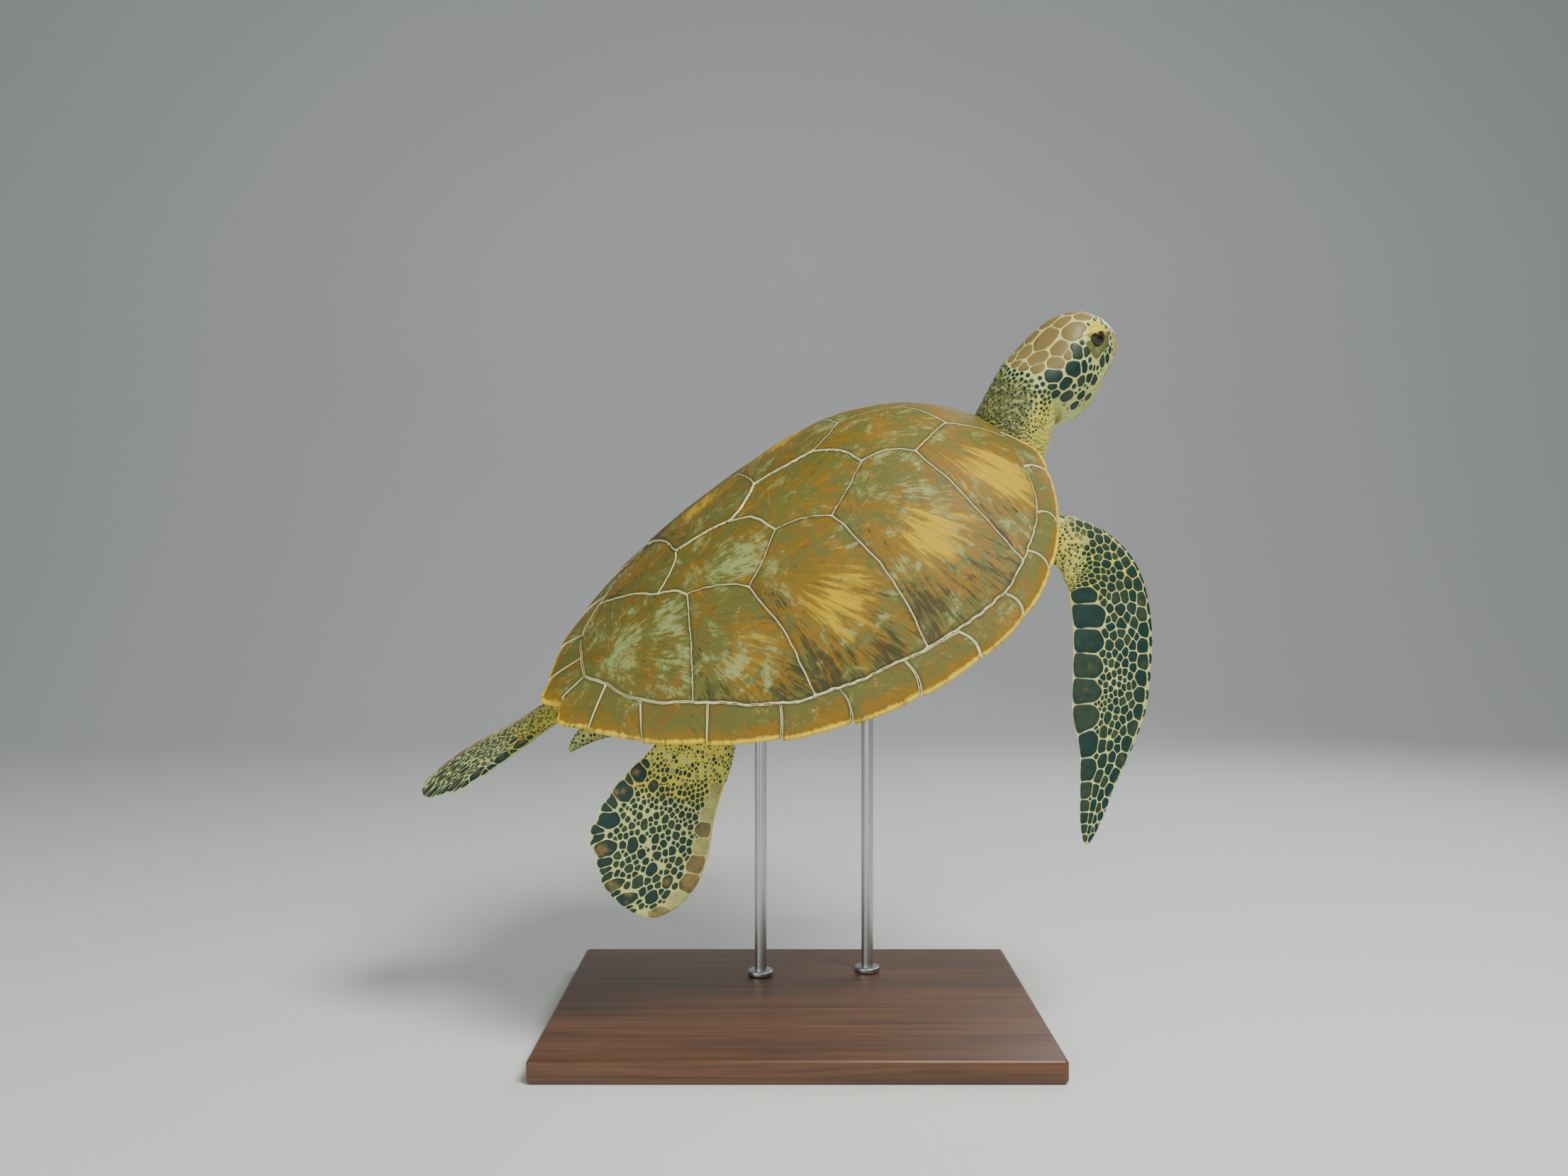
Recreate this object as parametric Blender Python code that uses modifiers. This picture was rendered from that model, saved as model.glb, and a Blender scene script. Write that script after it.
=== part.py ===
"""A green sea turtle, life size, as a still model on a display stand.

Run with: blender --background --python part.py

The animal is modelled in its own frame: X runs from tail to head, Y to the animal's left and
Z up out of the back, with the origin at the middle of the shell's rim plane. An empty then sets
the swimming pose. Most lengths of the animal are fractions of its shell's length, SHELL.
A point of the shell is given by s, 0 at the front edge and 1 at the rear, and y across.
"""
import math

import bmesh
import bpy
import numpy as np
from mathutils import Euler, Matrix, Vector

# Driving dimensions, in metres and degrees
SHELL = 0.60                 # straight length of the carapace
HEADING = 19.5               # the swimmer heads this far round from +X
CLIMB = 29.5                 # nose up
BANK = 28.4                  # left side up
CENTRE_HEIGHT = 0.475        # the shell's centre above the floor
GAP = 0.0003                 # air between pieces that touch
SEAM = 0.0009                # width of the cut between two shell plates
PLATE = 0.0025               # thickness of a shell plate
UNDER_PLATE = 0.0044         # from the shell's surface down to the flesh beneath
UNDER_BELLY = 0.0040         # from the belly's surface up to the flesh

RING = 20                    # points round the neck and head
RIB = 6                      # points across each face of a flipper
RIB_SECTION = (1.9, 0.5, 0.8)  # rise, and how its leading and trailing edges taper
FIN_EDGE = 0.0012            # thickness of a flipper's trailing edge
PLATE_RINGS = (1.0, 0.90, 0.5)           # a plate's rings, as parts of its outline
PLASTRON_RINGS = (1.0, 0.90, 0.65, 0.35)
TRUNK_ROWS = (0.052, 0.075, 0.11, 0.16, 0.22, 0.30, 0.38, 0.46, 0.54, 0.62, 0.70, 0.78, 0.84, 0.875, 0.892)
TRUNK_ACROSS = 13            # points across its back, and as many across its belly
FLANK = 0.35                 # how far up the flank the belly's edge lies
TRUNK_INSET = 0.0052         # the flesh stays this far inside the marginals' inner line

BASE_SIZE = (0.52, 0.38, 0.024)
BASE_BEVEL = 0.004
ROD_RADIUS = 0.007
ROD_ROOM = 0.0060            # the flesh is kept this far off the rods' tops
ROD_PLACES = ((-0.040, 0.080, 0.440), (0.085, 0.095, 0.500))     # x, y and the top before it is cut

# The carapace, in shell lengths
DOME_HEIGHT = 0.204
DOME_PEAK = 0.32
DOME_FRONT = 2.15            # exponents of the falling lines ahead of and behind the peak
DOME_REAR = 1.76
DOME_SIDE = (1.65, 0.95)
RIM_SWEEP = (0.265, 0.235)   # the rim rises towards front and rear, as the square of the distance
RIM_LOW = 0.55
RIM_EDGE = 0.007             # thickness of the rim
RIM_UNDERSIDE = 0.012        # how far the marginals' inner foot lies under the rim
SERRATION = 0.006            # how far the hind corners of the rear marginals stand out
SERRATION_DIP = 0.3          # and how much of that their front corners stand in
SEAM_SKEW = 0.017            # the seams along the back slant a little, as they grew

# Junctions of the seams, from the front midline round to the rear: (s, half width)
RIM = ((0.012, 0.0), (0.002, 0.090), (0.030, 0.174), (0.105, 0.283), (0.188, 0.354), (0.285, 0.398),
       (0.390, 0.411), (0.510, 0.403), (0.625, 0.371), (0.730, 0.320), (0.828, 0.247), (0.908, 0.171),
       (0.966, 0.087), (1.0, 0.038), (0.975, 0.0))
INNER = ((0.045, 0.0), (0.045, 0.055), (0.080, 0.170), (0.138, 0.268), (0.210, 0.322), (0.295, 0.360),
         (0.400, 0.366), (0.500, 0.354), (0.610, 0.325), (0.700, 0.284), (0.790, 0.206), (0.873, 0.120),
         (0.900, 0.050), (0.920, 0.0))
BACK = ((0.165, 0.050), (0.265, 0.097), (0.350, 0.055), (0.458, 0.106), (0.540, 0.052),
        (0.641, 0.108), (0.722, 0.030))
COSTAL_FEET = (1.28, 4.25, 6.57, 8.42, 10.2)      # where costal seams meet the inner line
MARGINALS = 12

# The underside
BELLY_DEPTH = 0.125
BELLY_MIDDLE = 0.45
BELLY_REACH = 0.55
BELLY_ENDS = 3.5
BELLY_SIDE = 3.2
PLASTRON = ((0.130, 0.0), (0.145, 0.090), (0.215, 0.175), (0.340, 0.215), (0.470, 0.215),
            (0.600, 0.190), (0.720, 0.130), (0.830, 0.075), (0.860, 0.0))
BRIDGE_SPAN = (0.31, 0.62)
BRIDGE_SEAM = 0.003          # between bridge and plastron
BRIDGE_FOOT = 0.012          # the bridge stops this far short of the inner line

# The head, in head lengths from the nape forward: (x, half width, top, bottom, squareness)
HEAD = 0.220
HEAD_NAPE = (0.575, 0.0, 0.135)
HEAD_PITCH = 4.0
HEAD_STATIONS = ((0.00, 0.310, 0.200, -0.42, 2.1), (0.14, 0.345, 0.240, -0.49, 2.2),
                 (0.30, 0.355, 0.290, -0.53, 2.3), (0.46, 0.335, 0.340, -0.51, 2.3),
                 (0.60, 0.290, 0.350, -0.45, 2.3), (0.73, 0.240, 0.315, -0.39, 2.2),
                 (0.84, 0.190, 0.235, -0.340, 2.1), (0.92, 0.140, 0.140, -0.300, 2.0),
                 (0.975, 0.085, 0.030, -0.245, 2.0))
SNOUT = (1.0, -0.110)
SNOUT_TIP = 0.04
SNOUT_FALL = 0.12             # where the top lies lower than this, rings centre on their own middle
MOUTH = (0.42, -0.215, -3.0)  # hinge of the jaws (x, z) and the rise of the mouth line in degrees
JAW_BLOCK = (0.9, 1.2, 0.8)   # the block that parts the jaws: length, width, depth
EYE = (0.680, 0.165, 0.135)   # centre (x, y, z) in head lengths
EYE_RADIUS = 0.0120
EYE_SOCKET_GAP = 0.0004

# The neck: (X, Z, half width, half height)
NECK = ((0.385, -0.030, 0.150, 0.075), (0.450, 0.000, 0.108, 0.068), (0.505, 0.036, 0.086, 0.072),
        (0.542, 0.078, 0.075, 0.073))

# Flippers as ribs from root to tip: (span, leading edge, span, trailing edge, thickness)
FRONT_ROOT = (0.33, -0.30, -0.05)
FRONT_SPAN = (-0.480, -0.550, -0.683)
FRONT_CHORD = (0.851, -0.482, -0.210)
FRONT_TWIST = 18.0
FRONT_RIBS = ((-0.040, -0.120, 0.030, -0.120, 0.044), (-0.078, -0.050, 0.005, -0.050, 0.050),
              (-0.128, 0.025, -0.025, 0.025, 0.052), (-0.116, 0.100, -0.008, 0.040, 0.050),
              (-0.072, 0.160, 0.005, 0.044, 0.044),
              (-0.012, 0.192, 0.030, 0.046, 0.036), (0.070, 0.200, 0.080, 0.046, 0.030),
              (0.150, 0.190, 0.150, 0.038, 0.026), (0.225, 0.171, 0.220, 0.030, 0.022),
              (0.295, 0.134, 0.285, 0.037, 0.018), (0.355, 0.096, 0.345, 0.032, 0.014),
              (0.410, 0.066, 0.405, 0.026, 0.010), (0.450, 0.037, 0.448, 0.028, 0.006))
REAR_RIGHT_ROOT = (-0.300, -0.200, -0.090)
REAR_RIGHT_SPAN = (-0.689, -0.265, -0.674)
REAR_RIGHT_CHORD = (0.718, -0.371, -0.588)
REAR_LEFT_ROOT = (-0.461, 0.178, -0.078)
REAR_LEFT_SPAN = (-0.902, 0.357, -0.239)
REAR_LEFT_CHORD = (0.382, 0.864, -0.320)
REAR_RIBS = ((-0.165, 0.000, -0.165, -0.080, 0.055), (-0.070, 0.008, -0.070, -0.105, 0.050),
             (0.000, 0.012, 0.000, -0.130, 0.038), (0.050, 0.008, 0.050, -0.160, 0.026),
             (0.100, 0.008, 0.100, -0.183, 0.020), (0.150, 0.014, 0.160, -0.194, 0.016),
             (0.205, 0.010, 0.205, -0.172, 0.013), (0.250, -0.012, 0.248, -0.142, 0.010),
             (0.282, -0.050, 0.280, -0.084, 0.007))

# The tail: (X, Z, radius)
TAIL_FLATNESS = 0.8
TAIL = ((-0.340, -0.050, 0.040), (-0.400, -0.045, 0.032), (-0.450, -0.040, 0.021),
        (-0.482, -0.044, 0.012), (-0.500, -0.052, 0.004))

# The plates of the shell that each limb passes close under
NEIGHBOURS = {
    "neck": ("nuchal", "marginal_left_1", "marginal_right_1"),
    "tail": ("marginal_left_12", "marginal_right_12"),
    "front_flipper_left": tuple(f"marginal_left_{number}" for number in range(1, 5)),
    "front_flipper_right": tuple(f"marginal_right_{number}" for number in range(1, 5)),
    "rear_flipper_left": ("tail", *(f"marginal_left_{number}" for number in range(9, 13))),
    "rear_flipper_right": ("tail", *(f"marginal_right_{number}" for number in range(7, 13))),
}

FINISHES = {
    "shell": ((0.30, 0.17, 0.045), 0.42),
    "shell_under": ((0.78, 0.66, 0.38), 0.50),
    "skin": ((0.36, 0.40, 0.20), 0.60),
    "head": ((0.22, 0.20, 0.11), 0.50),
    "beak": ((0.30, 0.26, 0.13), 0.35),
    "eye": ((0.010, 0.012, 0.010), 0.08),
    "wood": ((0.10, 0.050, 0.025), 0.45),
    "steel": ((0.60, 0.61, 0.62), 0.30),
}


# Curves and surfaces of the shell --------------------------------------------------------------

def smooth_path(points, t):
    """A smooth curve through the points, read at t, which counts the points from 0."""
    points = np.asarray(points, dtype=float)
    last = len(points) - 1
    t = np.clip(np.asarray(t, dtype=float), 0.0, last - 1e-9)
    low = t.astype(int)
    part = (t - low)[..., None]
    before = np.where((low == 0)[..., None], 2 * points[0] - points[1], points[np.maximum(low - 1, 0)])
    start = points[low]
    end = points[low + 1]
    past = np.where((low + 2 > last)[..., None], 2 * points[last] - points[last - 1],
                    points[np.minimum(low + 2, last)])
    return 0.5 * (2 * start + (end - before) * part + (2 * before - 5 * start + 4 * end - past) * part**2
                  + (3 * start - before - 3 * end + past) * part**3)


def half_width(knots, s, upto):
    """Half width of the smooth outline through the knots, at s, from the first side knot on."""
    outline = smooth_path(knots[1:upto + 1], np.linspace(0, upto - 1, 300))
    order = np.argsort(outline[:, 0])
    return np.interp(s, outline[order, 0], outline[order, 1])


def rim_height(s):
    return np.where(s < RIM_LOW, *RIM_SWEEP) * (s - RIM_LOW) ** 2


def dome(s, y):
    """Height of the carapace's surface."""
    s = np.asarray(s, dtype=float)
    away = np.where(s < DOME_PEAK, (DOME_PEAK - s) / DOME_PEAK, (s - DOME_PEAK) / (1 - DOME_PEAK))
    along = np.clip(1 - np.abs(away) ** np.where(s < DOME_PEAK, DOME_FRONT, DOME_REAR), 0, 1)
    across = np.clip(np.abs(y) / half_width(RIM, s, 13), 0, 1)
    steep, round_off = DOME_SIDE
    return rim_height(s) + DOME_HEIGHT * along * (1 - across**steep) ** round_off


def belly(s, y):
    """Height of the underside's surface."""
    s = np.asarray(s, dtype=float)
    away = np.clip(np.abs(s - BELLY_MIDDLE) / BELLY_REACH, 0, 1)
    across = np.clip(np.abs(y) / half_width(INNER, s, 12), 0, 1)
    depth = BELLY_DEPTH * (1 - away**BELLY_ENDS)
    return rim_height(s) - RIM_UNDERSIDE - depth * (1 - across**BELLY_SIDE)


def shell_point(s, y, surface=dome, lift=0.0):
    """Points of the animal's frame in metres, lift metres along the surface's outward normal."""
    s = np.asarray(s, dtype=float)
    y = np.asarray(y, dtype=float)
    step = 0.004
    z = surface(s, y)
    slope_x = -(surface(s + step, y) - surface(s - step, y)) / (2 * step)
    slope_y = (surface(s, y + step) - surface(s, y - step)) / (2 * step)
    normal = np.stack([-slope_x, -slope_y, np.ones_like(z)], axis=-1)
    normal /= np.linalg.norm(normal, axis=-1, keepdims=True)
    if surface is belly:
        normal = -normal
    return np.stack([0.5 - s, y, z], axis=-1) * SHELL + normal * lift


# Making objects --------------------------------------------------------------------------------

def clear_scene():
    for thing in list(bpy.data.objects):
        bpy.data.objects.remove(thing, do_unlink=True)
    for mesh in list(bpy.data.meshes):
        bpy.data.meshes.remove(mesh)


def finish(name):
    """The material of that name, made the first time it is asked for."""
    material = bpy.data.materials.get(name)
    if material is None:
        colour, roughness = FINISHES[name]
        material = bpy.data.materials.new(name)
        material.use_nodes = True
        shader = material.node_tree.nodes["Principled BSDF"]
        shader.inputs["Base Color"].default_value = (*colour, 1.0)
        shader.inputs["Roughness"].default_value = roughness
        shader.inputs["Metallic"].default_value = 1.0 if name == "steel" else 0.0
    return material


def make_object(name, mesh, finish_name, collection, parent=None):
    thing = bpy.data.objects.new(name, mesh)
    collection.objects.link(thing)
    thing.parent = parent
    mesh.materials.clear()
    mesh.materials.append(finish(finish_name))
    return thing


def mesh_from(name, vertices, faces):
    mesh = bpy.data.meshes.new(name)
    mesh.from_pydata([tuple(map(float, v)) for v in vertices], [], faces)
    shape = bmesh.new()
    shape.from_mesh(mesh)
    bmesh.ops.remove_doubles(shape, verts=shape.verts, dist=1e-6)
    bmesh.ops.recalc_face_normals(shape, faces=shape.faces)
    bmesh.ops.triangulate(shape, faces=shape.faces)
    shape.to_mesh(mesh)
    shape.free()
    return mesh


def smooth_shade(thing, angle=40.0):
    thing.data.shade_smooth()
    thing.data.set_sharp_from_angle(angle=math.radians(angle))


def loft(name, rings):
    """A closed mesh through rings of the same number of points, with a fan over each end."""
    count = len(rings[0])
    vertices = [point for ring in rings for point in ring]
    faces = []
    for row in range(len(rings) - 1):
        for i in range(count):
            j = (i + 1) % count
            faces.append((row * count + i, row * count + j, (row + 1) * count + j, (row + 1) * count + i))
    for row in (0, len(rings) - 1):
        centre = len(vertices)
        vertices.append(np.mean(rings[row], axis=0))
        faces += [(row * count + i, row * count + (i + 1) % count, centre) for i in range(count)]
    return mesh_from(name, vertices, faces)


def add_boolean(thing, operation, other):
    cut = thing.modifiers.new(f"{operation.lower()} {other.name}", "BOOLEAN")
    cut.operation = operation
    cut.solver = "EXACT"
    cut.object = other


def swollen_cutter(thing, by, cutters, parent):
    """A copy of a piece, swollen by a hair, that clears room for it in its neighbours."""
    bpy.context.view_layer.update()
    evaluated = thing.evaluated_get(bpy.context.evaluated_depsgraph_get())
    mesh = bpy.data.meshes.new_from_object(evaluated)
    shape = bmesh.new()
    shape.from_mesh(mesh)
    shape.normal_update()
    for vertex in shape.verts:
        vertex.co += vertex.normal * by * min(vertex.calc_shell_factor(), 3.0)
    shape.to_mesh(mesh)
    shape.free()
    return make_cutter(f"room_for_{thing.name}", mesh, cutters, parent)


def make_cutter(name, mesh, cutters, parent):
    cutter = bpy.data.objects.new(name, mesh)
    cutters.objects.link(cutter)
    cutter.parent = parent
    cutter.hide_render = True
    cutter.display_type = "WIRE"
    return cutter


# The shell's plates ----------------------------------------------------------------------------

def seam_line(start, end, count):
    """Points of a seam from start to end, without the end."""
    steps = np.linspace(0, 1, count, endpoint=False)[:, None]
    return np.asarray(start) * (1 - steps) + np.asarray(end) * steps


def inner_line(start, end, count, side):
    """Points on the line between the big plates and the marginals, without the end."""
    points = smooth_path(INNER, np.linspace(start, end, count, endpoint=False))
    return points * (1, side)


def back_junction(index, side):
    s, y = BACK[index]
    return (s + SEAM_SKEW * side, y * side)


def foot(index, side):
    s, y = smooth_path(INNER, COSTAL_FEET[index])
    return (s, y * side)


def vertebral_outline(number):
    """Plate number 1 to 5 of the row down the back."""
    right, left = -1, 1
    if number == 1:
        last = COSTAL_FEET[0]
        return np.vstack([inner_line(last, 0, 4, right), inner_line(0, last, 4, left),
                          seam_line(foot(0, left), back_junction(0, left), 4),
                          seam_line(back_junction(0, left), back_junction(0, right), 3),
                          seam_line(back_junction(0, right), foot(0, right), 4)])
    first = 2 * (number - 2)
    if number == 5:
        last = COSTAL_FEET[-1]
        end = len(INNER) - 1
        return np.vstack([seam_line(back_junction(first, right), back_junction(first, left), 3),
                          seam_line(back_junction(first, left), foot(4, left), 4),
                          inner_line(last, end, 4, left), inner_line(end, last, 4, right),
                          seam_line(foot(4, right), back_junction(first, right), 4)])
    ring = [back_junction(first, right), back_junction(first, left), back_junction(first + 1, left),
            back_junction(first + 2, left), back_junction(first + 2, right),
            back_junction(first + 1, right)]
    return np.vstack([seam_line(ring[i], ring[(i + 1) % 6], 3) for i in range(6)])


def costal_outline(number, side):
    """Plate number 1 to 4 of the row on one side of the back."""
    start, end = COSTAL_FEET[number - 1], COSTAL_FEET[number]
    inner = [foot(0, side)] if number == 1 else [back_junction(2 * number - 3, side)]
    inner.append(back_junction(2 * number - 2, side))
    if number < 4:
        inner.append(back_junction(2 * number - 1, side))
    corners = [*([] if number == 1 else [foot(number - 1, side)]), *inner, foot(number, side)]
    seams = [seam_line(corners[i], corners[i + 1], 4) for i in range(len(corners) - 1)]
    return np.vstack([*seams, inner_line(end, start, 5, side)])


def shrink(outline, by):
    """The outline drawn in on all sides, to leave half a seam."""
    ahead = np.roll(outline, -1, axis=0) - outline
    behind = outline - np.roll(outline, 1, axis=0)
    ahead /= np.linalg.norm(ahead, axis=1, keepdims=True)
    behind /= np.linalg.norm(behind, axis=1, keepdims=True)
    along = ahead + behind
    along /= np.linalg.norm(along, axis=1, keepdims=True)
    turn = np.clip(np.sum(along * ahead, axis=1, keepdims=True), 0.5, 1)
    area = np.sum(outline[:, 0] * np.roll(outline[:, 1], -1) - np.roll(outline[:, 0], -1) * outline[:, 1])
    inward = np.stack([-along[:, 1], along[:, 0]], axis=1) * np.sign(area)
    return outline + inward * by / turn


def plate(name, outline, finish_name, collection, pose, surface=dome, lift=0.0, scales=PLATE_RINGS):
    """A plate on the shell: rings drawn in from its outline to its middle."""
    outline = shrink(np.asarray(outline), SEAM / 2 / SHELL)
    middle = outline.mean(axis=0)
    rings = [middle + (outline - middle) * scale for scale in scales]
    points = np.vstack([*rings, middle[None]])
    count = len(outline)
    faces = []
    inmost = len(scales) - 1
    for ring in range(inmost):
        for i in range(count):
            j = (i + 1) % count
            faces.append((ring * count + i, ring * count + j, (ring + 1) * count + j, (ring + 1) * count + i))
    faces += [(inmost * count + i, inmost * count + (i + 1) % count, len(points) - 1) for i in range(count)]
    return thicken(name, points, faces, finish_name, collection, pose, surface, lift)


def strip_plate(name, near, far, columns, finish_name, collection, pose, surface, lift):
    """A plate between two lines of as many points."""
    part = np.linspace(0, 1, columns + 1)[:, None, None]
    points = (np.asarray(near) * (1 - part) + np.asarray(far) * part).reshape(-1, 2)
    count = len(near)
    faces = [(row * count + i, row * count + i + 1, (row + 1) * count + i + 1, (row + 1) * count + i)
             for row in range(columns) for i in range(count - 1)]
    return thicken(name, points, faces, finish_name, collection, pose, surface, lift)


def thicken(name, points, faces, finish_name, collection, pose, surface, lift):
    """An open patch of the shell's surface, given the thickness of a plate."""
    mesh = mesh_from(name, shell_point(points[:, 0], points[:, 1], surface, lift), faces)
    outward = mesh.polygons[-1].normal.z > 0
    if outward != (surface is dome):
        mesh.flip_normals()
    thing = make_object(name, mesh, finish_name, collection, pose)
    wall = thing.modifiers.new("thickness", "SOLIDIFY")
    wall.thickness = PLATE
    wall.offset = -1.0
    smooth_shade(thing)
    return thing


def rim_point(t, side):
    """A point of the rim; the rear marginals' hind corners stand out from the smooth line."""
    u = t if t <= MARGINALS else MARGINALS + 2 * (t - MARGINALS)
    s, y = smooth_path(RIM, u)
    ahead = smooth_path(RIM, min(u + 0.05, len(RIM) - 1.01)) - smooth_path(RIM, u - 0.05)
    out = np.array([-ahead[1], ahead[0]]) / (np.linalg.norm(ahead) + 1e-9)
    number = math.floor(t + 1e-6)
    if 5 <= number < MARGINALS:
        growth = SERRATION * min((number - 4) / 4, 1.0)
        s, y = np.array([s, y]) + out * growth * ((t - number) ** 1.5 - SERRATION_DIP)
    return s, y * side


def marginal_sections(start, end, count, side):
    """Wedge sections of the rim, each from the inner line out over the rim and back below."""
    sections = []
    half_seam = SEAM / 2 / SHELL
    for t in np.linspace(start, end, count):
        turn = side * math.copysign(1, t) if t else side
        inner_s, inner_y = smooth_path(INNER, abs(t))
        inner_y = inner_y * turn
        rim_s, rim_y = rim_point(min(abs(t), end - 1e-4 if end > 1 else abs(t)), turn)
        reach = np.array([rim_s - inner_s, rim_y - inner_y])
        inset = half_seam * reach / np.linalg.norm(reach)
        start_s, start_y = np.array([inner_s, inner_y]) + inset
        middle_s, middle_y = (start_s + rim_s) / 2, (start_y + rim_y) / 2
        edge = rim_height(rim_s)
        sections.append(np.array([
            (0.5 - start_s, start_y, float(dome(start_s, start_y))),
            (0.5 - middle_s, middle_y, float(dome(middle_s, middle_y))),
            (0.5 - rim_s, rim_y, edge),
            (0.5 - rim_s, rim_y, edge - RIM_EDGE),
            (0.5 - start_s, start_y, rim_height(start_s) - RIM_UNDERSIDE),
        ]) * SHELL)
    return sections


def narrow_ends(sections, by):
    """Draw the first and last section in, which leaves half a seam at each end of a marginal."""
    first = sections[1] - sections[0]
    last = sections[-2] - sections[-1]
    sections[0] = sections[0] + by * first / np.linalg.norm(first, axis=1, keepdims=True)
    sections[-1] = sections[-1] + by * last / np.linalg.norm(last, axis=1, keepdims=True)
    return sections


def make_shell(collection, pose):
    for number in range(1, 6):
        plate(f"vertebral_{number}", vertebral_outline(number), "shell", collection, pose)
    nuchal = loft("nuchal", narrow_ends(marginal_sections(-1, 1, 5, 1), SEAM / 2))
    smooth_shade(make_object("nuchal", nuchal, "shell", collection, pose), 30)
    for side, word in ((1, "left"), (-1, "right")):
        for number in range(1, 5):
            plate(f"costal_{word}_{number}", costal_outline(number, side), "shell", collection, pose)
        for number in range(1, MARGINALS + 1):
            count = 5 if number == MARGINALS else 4
            sections = narrow_ends(marginal_sections(number, number + 1, count, side), SEAM / 2)
            mesh = loft(f"marginal_{word}_{number}", sections)
            smooth_shade(make_object(mesh.name, mesh, "shell", collection, pose), 30)


def make_underside(collection, pose):
    lift = PLATE + GAP
    half = smooth_path(PLASTRON, np.linspace(0, len(PLASTRON) - 1, 15))
    outline = np.vstack([half, half[-2:0:-1] * (1, -1)])
    parts = [plate("plastron", outline, "shell_under", collection, pose, belly, lift, PLASTRON_RINGS)]
    front, rear = BRIDGE_SPAN
    for side, word in ((1, "left"), (-1, "right")):
        spread = np.linspace(front, rear, 7)
        near = np.stack([spread, half_width(PLASTRON, spread, 7) + BRIDGE_SEAM], axis=1) * (1, side)
        far = np.stack([spread, half_width(INNER, spread, 12) - BRIDGE_FOOT], axis=1) * (1, side)
        parts.append(strip_plate(f"bridge_{word}", near, far, 5, "shell_under", collection, pose,
                                 belly, lift))
    return parts


# The flesh -------------------------------------------------------------------------------------

def make_trunk(collection, pose):
    """The body inside the shell: the back's surface and the belly's, joined by side walls."""
    rows = []
    for s in TRUNK_ROWS:
        reach = float(half_width(INNER, s, 12)) - TRUNK_INSET
        across = np.sin(np.linspace(-math.pi / 2, math.pi / 2, TRUNK_ACROSS)) * reach
        top = shell_point(np.full(TRUNK_ACROSS, s), across, dome, -UNDER_PLATE)
        low = shell_point(np.full(TRUNK_ACROSS, s), across[::-1], belly, -UNDER_BELLY)
        low[[0, -1], 1] = np.array([reach, -reach]) * SHELL
        low[[0, -1], 2] = top[[-1, 0], 2] * FLANK + low[[0, -1], 2] * (1 - FLANK)
        rows.append(np.vstack([top, low]))
    thing = make_object("trunk", loft("trunk", rows), "skin", collection, pose)
    smooth_shade(thing)
    return thing


def ellipse_ring(centre, side_axis, up_axis, half, top, bottom, power, count):
    """A ring of points: half wide, top above and bottom below its centre; 2 is an ellipse."""
    points = []
    for i in range(count):
        angle = 2 * math.pi * (i + 0.5) / count
        c, s = math.cos(angle), math.sin(angle)
        x = math.copysign(abs(c) ** (2 / power), c) * half
        z = math.copysign(abs(s) ** (2 / power), s) * (top if s > 0 else bottom)
        points.append(centre + side_axis * x + up_axis * z)
    return np.array(points)


def head_frame():
    turn = math.radians(HEAD_PITCH)
    ahead = np.array([math.cos(turn), 0, math.sin(turn)])
    up = np.array([-math.sin(turn), 0, math.cos(turn)])
    return np.array(HEAD_NAPE) * SHELL, ahead, np.array([0.0, 1.0, 0.0]), up


def head_point(x, y, z):
    nape, ahead, left, up = head_frame()
    return nape + (ahead * x + left * y + up * z) * HEAD * SHELL


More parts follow.
